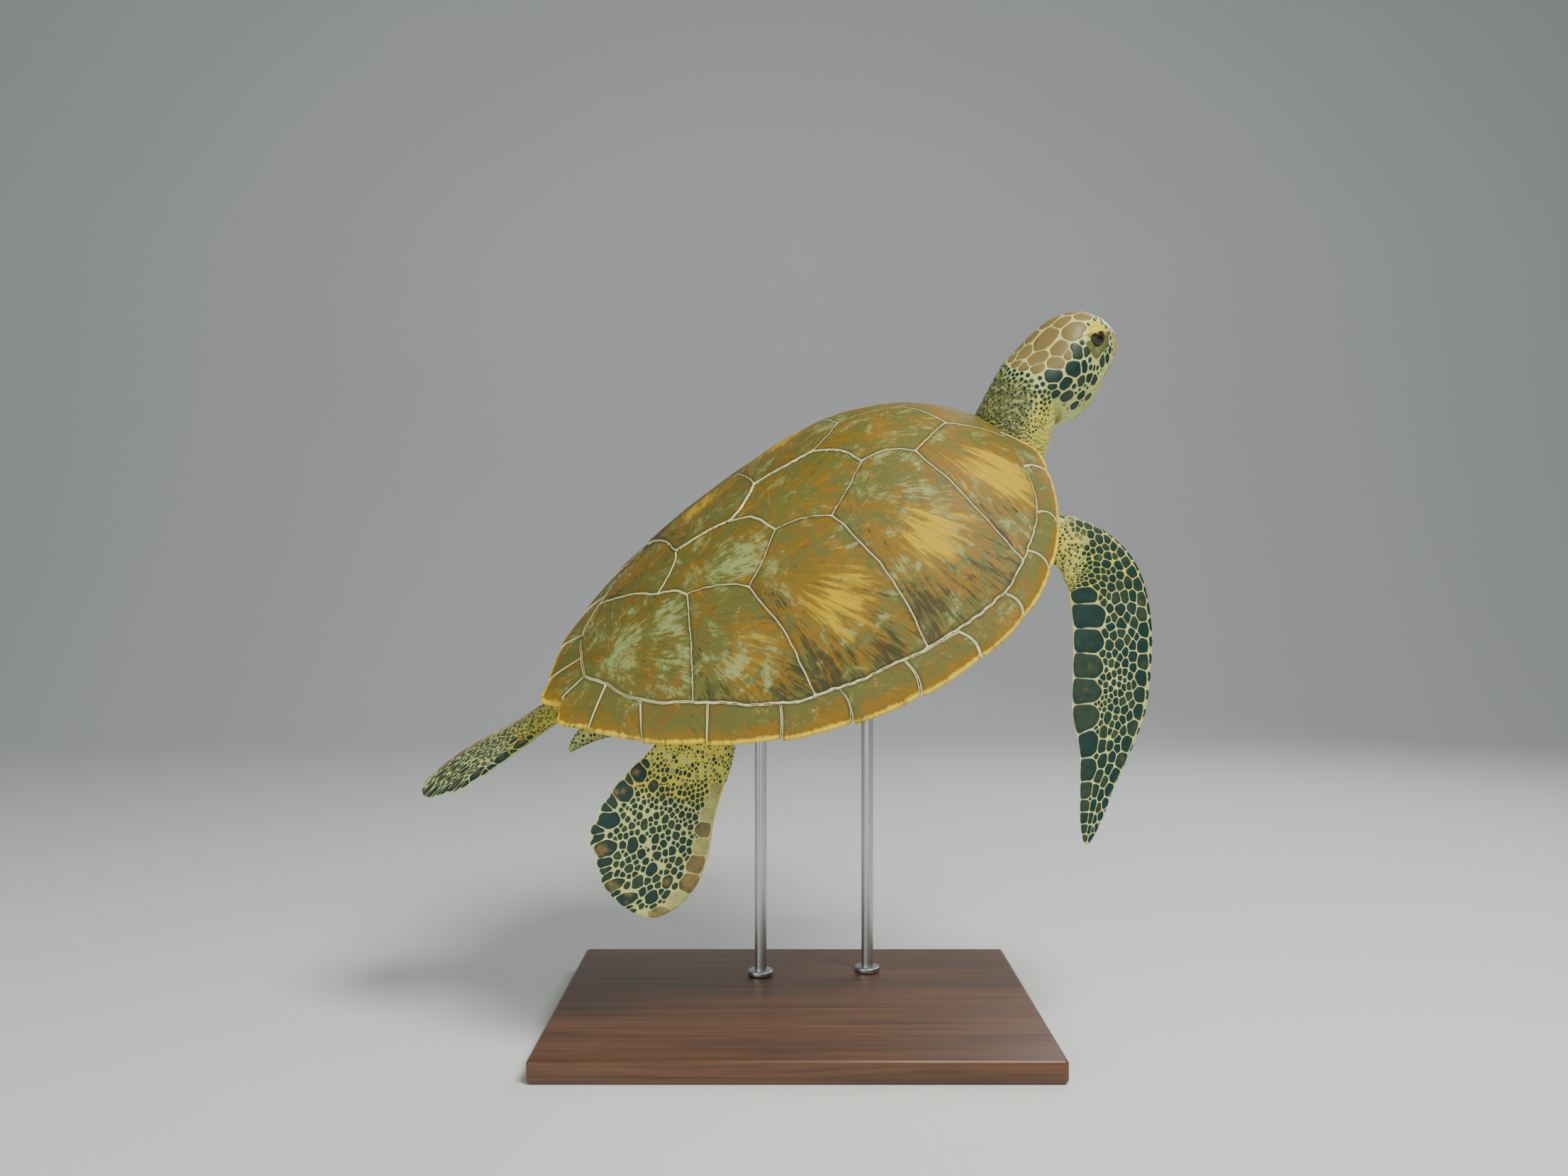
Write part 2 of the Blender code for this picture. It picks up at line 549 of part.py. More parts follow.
def make_head(collection, cutters, pose):
    """Head and lower jaw, lofted in one and parted at the mouth, with two eyes in sockets."""
    _, ahead, left, up = head_frame()
    unit = HEAD * SHELL
    rings = []
    for x in np.linspace(0, HEAD_STATIONS[-1][0], 15):
        stations = np.array(HEAD_STATIONS)
        where = np.interp(x, stations[:, 0], np.arange(len(stations)))
        _, half, top, bottom, power = smooth_path(stations, where)
        middle = (top + bottom) / 2 if top < SNOUT_FALL else 0.0
        rings.append(ellipse_ring(head_point(x, 0, middle), left, up, half * unit, (top - middle) * unit,
                                  (middle - bottom) * unit, power, RING))
    tip = SNOUT_TIP * unit
    rings.append(ellipse_ring(head_point(SNOUT[0], 0, SNOUT[1]), left, up, tip, tip, tip, 2.0, RING))
    rings[0] = rings[0] + ahead * GAP
    mesh = loft("head", rings)
    head = make_object("head", mesh, "head", collection, pose)
    jaw = make_object("lower_jaw", mesh.copy(), "beak", collection, pose)
    slope = math.radians(MOUTH[2])
    for thing, operation, grown in ((jaw, "INTERSECT", 0.0), (head, "DIFFERENCE", GAP)):
        block = bmesh.new()
        bmesh.ops.create_cube(block, size=1.0)
        length, width, depth = (edge * unit for edge in JAW_BLOCK)
        bmesh.ops.scale(block, verts=block.verts, vec=(length + grown, width, depth + grown))
        bmesh.ops.translate(block, verts=block.verts, vec=((length - grown) / 2, 0, (grown - depth) / 2))
        turn = Matrix.Rotation(-slope - math.radians(HEAD_PITCH), 4, "Y")
        place = Matrix.Translation(Vector(head_point(MOUTH[0], 0, MOUTH[1])))
        bmesh.ops.transform(block, matrix=place @ turn, verts=block.verts)
        mouth = bpy.data.meshes.new("mouth")
        block.to_mesh(mouth)
        block.free()
        add_boolean(thing, operation, make_cutter(f"mouth_{thing.name}", mouth, cutters, pose))
    for side, word in ((1, "left"), (-1, "right")):
        x, y, z = EYE
        ball_centre = Vector(head_point(x, y * side, z))
        for radius, holder in ((EYE_RADIUS, None), (EYE_RADIUS + EYE_SOCKET_GAP, head)):
            ball = bmesh.new()
            bmesh.ops.create_uvsphere(ball, u_segments=12, v_segments=7, radius=radius)
            bmesh.ops.translate(ball, verts=ball.verts, vec=ball_centre)
            sphere = bpy.data.meshes.new(f"eye_{word}")
            ball.to_mesh(sphere)
            ball.free()
            if holder is None:
                smooth_shade(make_object(f"eye_{word}", sphere, "eye", collection, pose), 60)
            else:
                add_boolean(head, "DIFFERENCE", make_cutter(f"socket_{word}", sphere, cutters, pose))
    smooth_shade(head)
    smooth_shade(jaw)
    return head, jaw


def tube_rings(stations, count, around=RING):
    """Rings along a curve in the plane of symmetry, square to it: (X, Z, half width, half height)."""
    stations = np.array(stations)
    rings = []
    for t in np.linspace(0, len(stations) - 1, count):
        x, z, half, high = smooth_path(stations, t)
        past, before = min(t + 0.05, len(stations) - 1), max(t - 0.05, 0)
        ahead = smooth_path(stations, past) - smooth_path(stations, before)
        along = np.array([ahead[0], 0, ahead[1]]) / math.hypot(ahead[0], ahead[1])
        up = np.array([-along[2], 0, along[0]])
        centre = np.array([x, 0, z]) * SHELL
        rings.append(ellipse_ring(centre, np.array([0.0, 1.0, 0.0]), up, half * SHELL, high * SHELL,
                                  high * SHELL, 2.0, around))
    return rings


def make_neck(collection, pose):
    """The neck, whose last ring is the nape's own."""
    rings = tube_rings(NECK, 6)
    _, _, left, up = head_frame()
    unit = HEAD * SHELL
    _, half, top, bottom, power = HEAD_STATIONS[0]
    rings.append(ellipse_ring(head_point(0, 0, 0), left, up, half * unit, top * unit, -bottom * unit,
                              power, RING))
    thing = make_object("neck", loft("neck", rings), "skin", collection, pose)
    smooth_shade(thing)
    return thing


def make_tail(collection, pose):
    stations = [(x, z, radius, radius * TAIL_FLATNESS) for x, z, radius in TAIL]
    thing = make_object("tail", loft("tail", tube_rings(stations, 6, 12)), "skin", collection, pose)
    smooth_shade(thing)
    return thing


def flipper(name, root, span, chord, twist, ribs, side, collection, pose):
    """A flipper lofted over ribs: each runs from its leading edge to its trailing edge."""
    root = np.array(root)
    span = np.array(span) / np.linalg.norm(span)
    chord = np.array(chord) - span * np.dot(chord, span)
    chord /= np.linalg.norm(chord)
    face = np.cross(chord, span)
    turn = math.radians(twist)
    cosine, sine = math.cos(turn), math.sin(turn)
    chord, face = chord * cosine + face * sine, face * cosine - chord * sine
    widen = 1 / cosine
    ribs = np.array(ribs)
    across = (1 - np.cos(np.linspace(0, math.pi, RIB))) / 2
    rise, front_round, rear_taper = RIB_SECTION
    profile = rise * across**front_round * (1 - across) ** rear_taper
    thin = FIN_EDGE / 2 / SHELL
    rings = []
    for t in np.linspace(0, len(ribs) - 1, 2 * len(ribs) - 1):
        lead_u, lead_c, trail_u, trail_c, thick = smooth_path(ribs, t)
        us = lead_u + (trail_u - lead_u) * across
        cs = (lead_c + (trail_c - lead_c) * across) * widen
        heights = np.maximum(thick / 2 * profile, thin * (across > 0.5))
        upper = [root + span * u + chord * c + face * h for u, c, h in zip(us, cs, heights)]
        lower = [root + span * u + chord * c - face * h for u, c, h in zip(us, cs, heights)]
        rings.append(np.array([*upper, *lower[-1:0:-1]]) * (1, side, 1) * SHELL)
    thing = make_object(name, loft(name, rings), "skin", collection, pose)
    smooth_shade(thing)
    return thing


def make_limbs(collection, pose):
    front = (FRONT_ROOT, FRONT_SPAN, FRONT_CHORD, FRONT_TWIST, FRONT_RIBS)
    return [
        flipper("front_flipper_right", *front, 1, collection, pose),
        flipper("front_flipper_left", *front, -1, collection, pose),
        flipper("rear_flipper_right", REAR_RIGHT_ROOT, REAR_RIGHT_SPAN, REAR_RIGHT_CHORD, 0.0,
                REAR_RIBS, 1, collection, pose),
        flipper("rear_flipper_left", REAR_LEFT_ROOT, REAR_LEFT_SPAN, REAR_LEFT_CHORD, 0.0,
                REAR_RIBS, 1, collection, pose),
    ]


# The stand -------------------------------------------------------------------------------------

def make_stand(collection, *rooms):
    width, depth, height = BASE_SIZE
    block = bmesh.new()
    bmesh.ops.create_cube(block, size=1.0)
    bmesh.ops.scale(block, verts=block.verts, vec=BASE_SIZE)
    bmesh.ops.translate(block, verts=block.verts, vec=(0, 0, height / 2))
    mesh = bpy.data.meshes.new("stand_base")
    block.to_mesh(mesh)
    block.free()
    base = make_object("stand_base", mesh, "wood", collection)
    bevel = base.modifiers.new("edges", "BEVEL")
    bevel.width = BASE_BEVEL
    bevel.segments = 2
    for number, (x, y, top) in enumerate(ROD_PLACES, 1):
        rod = bmesh.new()
        tall = top - height - GAP
        bmesh.ops.create_cone(rod, cap_ends=True, segments=20, radius1=ROD_RADIUS, radius2=ROD_RADIUS,
                              depth=tall)
        bmesh.ops.translate(rod, verts=rod.verts, vec=(x, y, height + GAP + tall / 2))
        mesh = bpy.data.meshes.new(f"stand_rod_{number}")
        rod.to_mesh(mesh)
        rod.free()
        thing = make_object(mesh.name, mesh, "steel", collection)
        smooth_shade(thing)
        for room in rooms:
            add_boolean(thing, "DIFFERENCE", room)


def main():
    clear_scene()
    scene = bpy.context.scene
    collection = bpy.data.collections.new("green_sea_turtle")
    cutters = bpy.data.collections.new("cutters")
    scene.collection.children.link(collection)
    scene.collection.children.link(cutters)
    pose = bpy.data.objects.new("pose", None)
    scene.collection.objects.link(pose)
    pose.location = (0, 0, CENTRE_HEIGHT)
    pose.rotation_euler = Euler((math.radians(BANK), math.radians(-CLIMB), math.radians(HEADING)), "XYZ")

    make_shell(collection, pose)
    underside = make_underside(collection, pose)
    trunk = make_trunk(collection, pose)
    make_head(collection, cutters, pose)
    neck = make_neck(collection, pose)
    tail = make_tail(collection, pose)
    limbs = make_limbs(collection, pose)
    rooms = {}
    for thing in (neck, tail, *limbs):
        for name in ("trunk", "plastron", *NEIGHBOURS[thing.name]):
            if name not in rooms:
                rooms[name] = swollen_cutter(collection.objects[name], GAP, cutters, pose)
            add_boolean(thing, "DIFFERENCE", rooms[name])
    make_stand(collection, rooms["plastron"], swollen_cutter(trunk, ROD_ROOM, cutters, pose))


main()
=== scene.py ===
"""The looks of a life-size green sea turtle, swimming, on a display stand.

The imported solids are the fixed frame. The shell's plates, the skin, the scales, the eyes and the
stand are modelled over them. The animal has its own frame: X runs from tail to head, Y to its
left and Z out of its back, with the origin at the middle of the shell's rim plane. POSE turns
that frame into the swimming pose. A point of the shell is given by s, 0 at the front edge and 1
at the rear, and y across, both as fractions of the shell's length.
"""
import math
from functools import cache
from types import SimpleNamespace

import bpy
import numpy as np
from bpy.props import FloatProperty, FloatVectorProperty, PointerProperty
from mathutils import Euler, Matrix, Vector
from mathutils.kdtree import KDTree


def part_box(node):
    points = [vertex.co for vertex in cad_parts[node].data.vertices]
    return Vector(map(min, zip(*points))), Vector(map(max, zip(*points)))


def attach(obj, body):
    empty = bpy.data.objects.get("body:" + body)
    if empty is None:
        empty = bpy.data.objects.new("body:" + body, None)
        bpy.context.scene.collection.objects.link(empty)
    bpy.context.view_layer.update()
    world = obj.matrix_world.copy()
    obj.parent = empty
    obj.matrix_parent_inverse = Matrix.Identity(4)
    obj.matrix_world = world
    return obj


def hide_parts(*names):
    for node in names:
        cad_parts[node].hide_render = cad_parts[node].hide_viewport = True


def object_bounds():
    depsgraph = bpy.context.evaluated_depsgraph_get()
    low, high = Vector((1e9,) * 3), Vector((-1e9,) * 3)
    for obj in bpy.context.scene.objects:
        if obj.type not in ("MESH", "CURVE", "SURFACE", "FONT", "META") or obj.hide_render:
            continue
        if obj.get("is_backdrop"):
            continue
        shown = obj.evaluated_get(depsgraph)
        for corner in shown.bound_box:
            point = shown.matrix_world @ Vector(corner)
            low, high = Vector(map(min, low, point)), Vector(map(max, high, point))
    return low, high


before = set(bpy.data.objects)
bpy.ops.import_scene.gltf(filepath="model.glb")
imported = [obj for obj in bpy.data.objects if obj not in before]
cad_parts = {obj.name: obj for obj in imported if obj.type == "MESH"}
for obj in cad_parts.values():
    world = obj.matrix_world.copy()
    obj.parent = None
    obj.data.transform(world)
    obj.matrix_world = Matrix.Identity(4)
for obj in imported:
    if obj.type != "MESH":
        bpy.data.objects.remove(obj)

bl_info = {
    "name": "Green sea turtle",
    "version": (1, 0, 0),
    "blender": (4, 5, 0),
    "location": "3D View > Sidebar > Turtle",
    "description": "Dresses the solids of a swimming green turtle in horn, skin and scales",
    "category": "Object",
}

CAD_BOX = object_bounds()
MM = 0.001
SIDES = ((1, "left"), (-1, "right"))

# The animal's pose and the shape of its body, as the solids have them ----------------------------

SHELL = 0.60                 # straight length of the carapace
HEADING = 19.5
CLIMB = 29.5
BANK = 28.4
CENTRE_HEIGHT = 0.475
TURN = Euler((math.radians(BANK), math.radians(-CLIMB), math.radians(HEADING)), "XYZ")
POSE = np.array(TURN.to_matrix())

DOME_HEIGHT = 0.204
DOME_PEAK = 0.32
DOME_FRONT = 2.15
DOME_REAR = 1.76
DOME_SIDE = (1.65, 0.95)
RIM_SWEEP = (0.265, 0.235)
RIM_LOW = 0.55
RIM_EDGE = 0.007
RIM_UNDERSIDE = 0.012
SERRATION = 0.006
SERRATION_DIP = 0.3
SEAM_SKEW = 0.017
PLATE = 0.0025
UNDER_PLATE = 0.0044
UNDER_BELLY = 0.0040

RIM = ((0.012, 0.0), (0.002, 0.090), (0.030, 0.174), (0.105, 0.283), (0.188, 0.354), (0.285, 0.398),
       (0.390, 0.411), (0.510, 0.403), (0.625, 0.371), (0.730, 0.320), (0.828, 0.247), (0.908, 0.171),
       (0.966, 0.087), (1.0, 0.038), (0.975, 0.0))
INNER = ((0.045, 0.0), (0.045, 0.055), (0.080, 0.170), (0.138, 0.268), (0.210, 0.322), (0.295, 0.360),
         (0.400, 0.366), (0.500, 0.354), (0.610, 0.325), (0.700, 0.284), (0.790, 0.206), (0.873, 0.120),
         (0.900, 0.050), (0.920, 0.0))
BACK = ((0.165, 0.050), (0.265, 0.097), (0.350, 0.055), (0.458, 0.106), (0.540, 0.052),
        (0.641, 0.108), (0.722, 0.030))
COSTAL_FEET = (1.28, 4.25, 6.57, 8.42, 10.2)
MARGINALS = 12

BELLY_DEPTH = 0.125
BELLY_MIDDLE = 0.45
BELLY_REACH = 0.55
BELLY_ENDS = 3.5
BELLY_SIDE = 3.2
PLASTRON = ((0.130, 0.0), (0.145, 0.090), (0.215, 0.175), (0.340, 0.215), (0.470, 0.215),
            (0.600, 0.190), (0.720, 0.130), (0.830, 0.075), (0.860, 0.0))
BRIDGE_SPAN = (0.31, 0.62)
BRIDGE_SEAM = 0.003
BRIDGE_FOOT = 0.012

HEAD = 0.220
HEAD_NAPE = (0.575, 0.135)
HEAD_PITCH = 4.0
HEAD_STATIONS = ((0.00, 0.310, 0.200, -0.42, 2.1), (0.14, 0.345, 0.240, -0.49, 2.2),
                 (0.30, 0.355, 0.290, -0.53, 2.3), (0.46, 0.335, 0.340, -0.51, 2.3),
                 (0.60, 0.290, 0.350, -0.45, 2.3), (0.73, 0.240, 0.315, -0.39, 2.2),
                 (0.84, 0.190, 0.235, -0.340, 2.1), (0.92, 0.140, 0.140, -0.300, 2.0),
                 (0.975, 0.085, 0.030, -0.245, 2.0))
SNOUT = (0.998, -0.110, 0.030)          # x, z and radius of the beak's blunt tip
EYE = (0.680, 0.165, 0.135)
EYE_RADIUS = 0.0120
NECK = ((0.385, -0.030, 0.150, 0.075), (0.450, 0.000, 0.108, 0.068), (0.505, 0.036, 0.086, 0.072),
        (0.542, 0.078, 0.075, 0.073))
NECK_REACH = (-0.95, -0.66, -0.38, -0.16)   # where the neck's stations lie, in head lengths from the nape

FRONT_ROOT = (0.33, -0.30, -0.05)
FRONT_SPAN = (-0.480, -0.550, -0.683)
FRONT_CHORD = (0.851, -0.482, -0.210)
FRONT_TWIST = 18.0
FRONT_RIBS = ((-0.040, -0.120, 0.030, -0.120, 0.044), (-0.078, -0.050, 0.005, -0.050, 0.050),
              (-0.128, 0.025, -0.025, 0.025, 0.052), (-0.116, 0.100, -0.008, 0.040, 0.050),
              (-0.072, 0.160, 0.005, 0.044, 0.044),
              (-0.012, 0.192, 0.030, 0.046, 0.036), (0.070, 0.200, 0.080, 0.046, 0.030),
              (0.150, 0.190, 0.150, 0.038, 0.026), (0.225, 0.171, 0.220, 0.030, 0.022),
              (0.295, 0.134, 0.285, 0.037, 0.018), (0.355, 0.096, 0.345, 0.032, 0.014),
              (0.410, 0.066, 0.405, 0.026, 0.010), (0.450, 0.037, 0.448, 0.028, 0.006))
REAR_RIGHT = ((-0.300, -0.200, -0.090), (-0.689, -0.265, -0.674), (0.718, -0.371, -0.588))
REAR_LEFT = ((-0.461, 0.178, -0.078), (-0.902, 0.357, -0.239), (0.382, 0.864, -0.320))
REAR_RIBS = ((-0.165, 0.000, -0.165, -0.080, 0.055), (-0.070, 0.008, -0.070, -0.105, 0.050),
             (0.000, 0.012, 0.000, -0.130, 0.038), (0.050, 0.008, 0.050, -0.160, 0.026),
             (0.100, 0.008, 0.100, -0.183, 0.020), (0.150, 0.014, 0.160, -0.194, 0.016),
             (0.205, 0.010, 0.205, -0.172, 0.013), (0.250, -0.012, 0.248, -0.142, 0.010),
             (0.282, -0.050, 0.280, -0.084, 0.007))
RIB_SECTION = (1.9, 0.8)
FIN_EDGE = 0.0012
TAIL = ((-0.340, -0.050, 0.040), (-0.400, -0.045, 0.032), (-0.450, -0.040, 0.021),
        (-0.482, -0.044, 0.012), (-0.500, -0.052, 0.004))
TAIL_FLATNESS = 0.8

# The fine forms, which only the looks have ---------------------------------------------------------

# The horn's plates
BROAD_WAVE = 0.0016          # how far the seams wander, in shell lengths
FINE_WAVE = 0.0007
COSTAL_BOWS = (0.0, 0.06, 0.05, 0.02)
RIM_SCALLOP = 0.0028         # how far the rim dips in at each seam between two rim plates, in shell lengths
RIM_SEAM_BOW = 0.08          # how far the seams between rim plates bow forwards, as a share of a plate
RIM_TOP = 0.46               # the share of a rim plate's section that lies on top,
RIM_BEND = 0.12              # on the lip,
RIM_BELOW = 0.30             # on the underside
RIM_WALL = 0.12              # and on the wall back up to the inner line
RIM_UNDER = 0.58             # where the underside starts along the section
RIM_INNER = 0.88             # and where the wall starts
EDGE_REACH = 1.7 * MM        # how far from its outline a plate's edge is rounded
SWELL = 0.35 * MM            # how far the big plates rise and fall
VERTEBRAL_TONES = ((0.50, 0.40, 0.35), (0.52, 0.45, 0.45), (0.46, 0.50, 0.50), (0.30, 0.60, 0.60),
                   (0.18, 0.65, 0.65))           # shares of gold, brown and grey-green, from front to rear
COSTAL_TONES = ((0.52, 0.40, 0.50), (0.46, 0.50, 0.50), (0.42, 0.60, 0.50), (0.28, 0.70, 0.55))
GOLD_SPOT = (0.075, 0.060)   # reach of the bright spot on a costal plate, in shell lengths
NUCHAL_TONES = (0.35, 0.45, 0.4)
MARGINAL_BROWN = 0.65
MARGINAL_GREEN = 0.46
PLASTRON_SEAMS = ((0.0, 0.130), (1.55, 0.195), (2.6, 0.300), (3.55, 0.420), (4.6, 0.545), (5.9, 0.680),
                  (8.0, 0.860))                  # place along PLASTRON and s on the midline

# The skin
COAT = 0.5 * MM              # how far the skin lies inside the solids, which the scales make up
TRUNK_SPAN = (0.052, 0.892)
TRUNK_INSET = 0.0052
TRUNK_COAT = COAT / SHELL    # the trunk's own coat: shell lengths across it, metres up and down
FLANK = 0.35
JOINT_REACH = 26 * MM        # how far from a joint of two parts of the body the skin is softened
JOINT_PASSES = 200
LEAD_COATS = 1.8             # how far a flipper's leading edge lies inside the solid, in coats
THIN_COATS = 2.2             # and how much thinner the flipper is
AXIL_TUCK = 0.075            # how far the front flippers' hind corner goes into the flank, in shell lengths
AXIL_SPAN = (2.6, 0.4)       # the ribs between which it does so
NOTCHES = ((3.15, 0.10, 1.6), (3.9, 0.10, 2.0), (4.6, 0.10, 2.4), (5.15, 0.10, 2.8), (5.75, 0.14, 3.2),
           (6.45, 0.12, 3.0), (7.05, 0.10, 2.2))    # of the rear flippers' hind edge: rib, reach, depth in mm
NECK_RADIUS = 0.045          # a round measure of the neck, for the waves of its folds
# Painted shade in the furrows of the neck's wrinkles:
FURROW_SHADE = (58, 62, 24)   # on a screen, 0 to 255
# Painted shade in the mouth's groove and in the nostrils:
MOUTH_AND_NOSTRIL_SHADE = (60, 50, 34)
IRIS_FLECKS = (64, 52, 24)
FOLD_SPACING = 5.0 * MM
FOLD_DEPTH = 1.6 * MM
HEAD_INSET = 0.4 * MM        # keeps the head's plates and the raised beak inside the solids
MOUTH_HEIGHT = -0.205        # of the mouth line at the beak's tip, in head lengths
MOUTH_CURVE = 0.045          # and how far it dips on the way back to the cheek
BEAK_STANDS = 0.8 * MM       # how far the upper jaw stands over the lower one
MOUTH_DEPTH = 2.3 * MM
NOSTRIL = (0.957, 34.0, 14.0, 1.5)     # reach, angle off the top, and in mm the snout's radius and its own
NOSTRIL_DEPTH = 2.4 * MM
TAIL_ROW = 5 * MM            # from one fold round the tail to the next
TAIL_RIDGE = 0.5 * MM
EYE_LOOK = (-0.10, 0.20)     # how far the eye looks ahead and up, for each step sideways
LID_SLANT = 0.25
LID_OPENING = (70.0, 46.0)   # half length and half height of the lids' opening, in degrees of the eyeball
LID_STANDS = 1.3 * MM
LID_THICK = (0.95, 0.60)     # half thickness of the upper and the lower lid's rim, in mm
LID_RISE = 0.5 * MM
LID_CREASES = ((1.20, 0.5), (1.42, 0.9), (1.66, 0.8), (1.92, 0.5))    # place and depth, as measures and mm
CREASE_FADE = (10 * MM, 6 * MM)        # where the creases end and where they are whole, off the eyeball
LID_REACH = 13 * MM          # the lids end where the skin lies this far off the eyeball
LID_ANGLE = 125              # or this many degrees off the way that the eye looks
LID_END = 2.3                # the measure up to which the skin is shaped
OFF_LIDS = 9.0               # the measure of a point that is no part of the lids
PUPIL = (0.004, 0.004, 0.004)
EYE_WHITE = (0.012, 0.014, 0.010)      # nearly black, as far as it shows at all
EYE_SINK = 2.2 * MM          # how far behind the eyeball's front the hidden skin lies

# The scales
FACES_APART = 0.7            # keeps the two faces of a flipper apart where scales measure their room
FIN_LIMIT = 0.968            # scales keep off a flipper's very trailing edge
NEIGHBOURS = 18              # how many other scales may bound one
ROUGH_RAYS = 18              # the rays of a scale while it settles
FINE_RAYS = 36               # and of its final outline
HALVINGS = 13                # steps that find where a ray ends
LEAST_REACH = 0.45 * MM      # scales that are narrower or smaller than these are left out
LEAST_MEAN = 0.75 * MM
LEAST_DRAWN = 0.35 * MM
LEAST_SIZE = 1.4 * MM
SPIKE_LIMIT = 1.15           # how far a corner of a scale may reach beyond the outline around it
SCALE_RINGS = ((1.0, -0.30), (0.985, 0.15), (0.93, 0.62), (0.80, 0.86), (0.52, 0.98), (0.22, 1.0))
SMALL_RINGS = ((1.0, -0.30), (0.90, 0.5), (0.6, 0.9))      # share of the outline and of the height
# The front flippers' hind row: lengths and widths in mm and shares of the chord, each by rib
FRONT_HIND_ROW = (((4.4, 5.4, 7.0, 8.4, 9.4, 10.2, 11.0, 12), (19, 27, 26, 31, 26, 14, 12, 8)),
                  ((4.4, 5.5, 7.5, 9.0, 10.5, 12), (34, 46, 38, 22, 14, 6)),
                  ((4.4, 5.5, 7.5, 9.0, 10.5, 12), (0.83, 0.80, 0.81, 0.81, 0.80, 0.78)))
# Their other rows: share of the chord, first rib, ribs left free at the tip, lengths in mm by rib, pace,
# the shares of the chord between which the scales stray, length and width as shares of the size, kind
FRONT_ROWS = (
    (0.58, 8.0, 0.4, ((7.6, 9, 10, 11.4), (13, 16, 15, 10)), 1.05, (0.52, 0.62), 1.1, 0.75, 0.03),
    (0.34, 9.0, 0.3, ((9, 10, 11.4), (13, 14, 9)), 1.05, (0.32, 0.38), 1.1, 0.7, 0.06),
    (0.13, 3.4, 0.2, ((3.6, 5, 7, 9, 11), (10, 16, 18, 19, 12)), 1.0, (0.12, 0.16), 1.0, 1.0, 0.10))
FRONT_LEADING = ((3.6, 5, 8, 11), (10, 17, 21, 16))
REAR_LEADING = ((2.6, 5, 8), (13, 19, 27))
REAR_EDGE = (8, 17, 7, 20, 9, 7, 17, 8, 7, 19, 13, 8)      # lengths along the rear flippers' hind edge, in mm
REAR_OVALS = ((3.2, 0.70, 11), (4.5, 0.60, 9), (5.2, 0.66, 14), (4.1, 0.44, 8), (5.9, 0.48, 13),
              (6.5, 0.60, 13), (6.8, 0.40, 15), (5.2, 0.32, 9), (6.1, 0.30, 12), (4.8, 0.47, 9),
              (3.6, 0.55, 7))                              # rib, share of the chord and size in mm
# Plates of the head: reach in head lengths, degrees off the midline, length and width in mm, kind
CROWN = ((0.30, 0, 26, 22, 1.0), (0.53, 0, 17, 14, 1.0))
CROWN_PAIRS = ((0.70, 13, 34, 15, 1.0), (0.515, 31, 28, 22, 1.0), (0.295, 33, 17, 15, 1.0),
               (0.185, 47, 17, 15, 0.95), (0.13, 15, 20, 13, 1.0), (0.035, 8, 9, 9, 0.9),
               (0.075, 31, 12, 9, 0.85), (0.32, 50, 14, 12, 0.9))
CHEEK_GROWTH = 1.45
CHEEK = ((0.385, 58, 14, 12), (0.285, 76, 14, 13), (0.463, 70, 7, 9), (0.542, 86, 7, 10),
         (0.392, 86, 7, 9), (0.629, 99, 9, 14), (0.113, 64, 15, 12), (0.173, 90, 13, 10),
         (0.165, 105, 13, 10), (0.32, 99, 9, 8), (0.414, 101, 8, 7), (0.30, 112, 9, 8),
         (0.478, 108, 9, 8), (0.497, 97, 4, 4), (0.715, 104, 8, 10), (0.775, 99, 7, 8),
         (0.06, 84, 8, 7), (0.05, 100, 8, 7), (0.23, 120, 9, 8), (0.38, 121, 8, 7))
HEAD_START = -0.16           # where the head's scales begin, in head lengths
EYE_CLEAR = 6.3              # how far off the eyeball its scales stay, in mm, behind and beside it
EYE_CLEAR_AHEAD = 15.5       # and in the way that the eye looks
FACING = (0.40, 0.55)        # how much of that way counts as ahead: to the temple, and elsewhere

# The stand and the stage
BOARD_BEVEL = 0.005
ROD_SHORT = 0.004            # how much lower than the solid a rod ends
COLLAR = (2.1, 0.006, 0.0015)          # radius as a share of the rod's, height and bevel
SWEEP = (14.0, 11.0, 5.5, 2.0, 3.0)    # width, run, flat part, bend and how far it comes to the front
LAMPS = (("key", (1.0, -1.2, 2.5), 1.2, 88, (1.0, 0.97, 0.92)),
         ("fill", (-2.0, -1.9, 0.9), 1.6, 24, (0.95, 0.98, 1.0)),
         ("rim", (1.3, 1.7, 1.8), 1.1, 18, (1.0, 1.0, 1.0)),
         ("low", (-0.4, -1.9, 0.15), 1.4, 7, (1.0, 1.0, 0.98)))
LAMP_AIM = (0, 0, 0.45)
SKY = (0.80, 0.86, 0.88, 1.0)
SKY_STRENGTH = 0.22
CAMERA_PLACE = (-0.0129, -1.4068, 0.4746)
CAMERA_LENS = 29.3
SENSOR = 36.0
SIGHT = 50.0


# Curves and surfaces ---------------------------------------------------------------------------

def smooth_path(points, t):
    """A smooth curve through the points, read at t, which counts the points from 0."""
    points = np.asarray(points, dtype=float)
    last = len(points) - 1
    t = np.clip(np.asarray(t, dtype=float), 0.0, last - 1e-9)
    low = t.astype(int)
    part = (t - low)[..., None]
    before = np.where((low == 0)[..., None], 2 * points[0] - points[1], points[np.maximum(low - 1, 0)])
    start = points[low]
    end = points[low + 1]
    past = np.where((low + 2 > last)[..., None], 2 * points[last] - points[last - 1],
                    points[np.minimum(low + 2, last)])
    return 0.5 * (2 * start + (end - before) * part + (2 * before - 5 * start + 4 * end - past) * part**2
                  + (3 * start - before - 3 * end + past) * part**3)


def unit(vectors, tiny=0.0):
    """The vectors at length 1; tiny keeps those of no length from dividing by 0."""
    return vectors / (np.linalg.norm(vectors, axis=-1, keepdims=True) + tiny)


def smooth_step(low, high, value):
    part = np.clip((np.asarray(value, dtype=float) - low) / (high - low), 0, 1)
    return part * part * (3 - 2 * part)


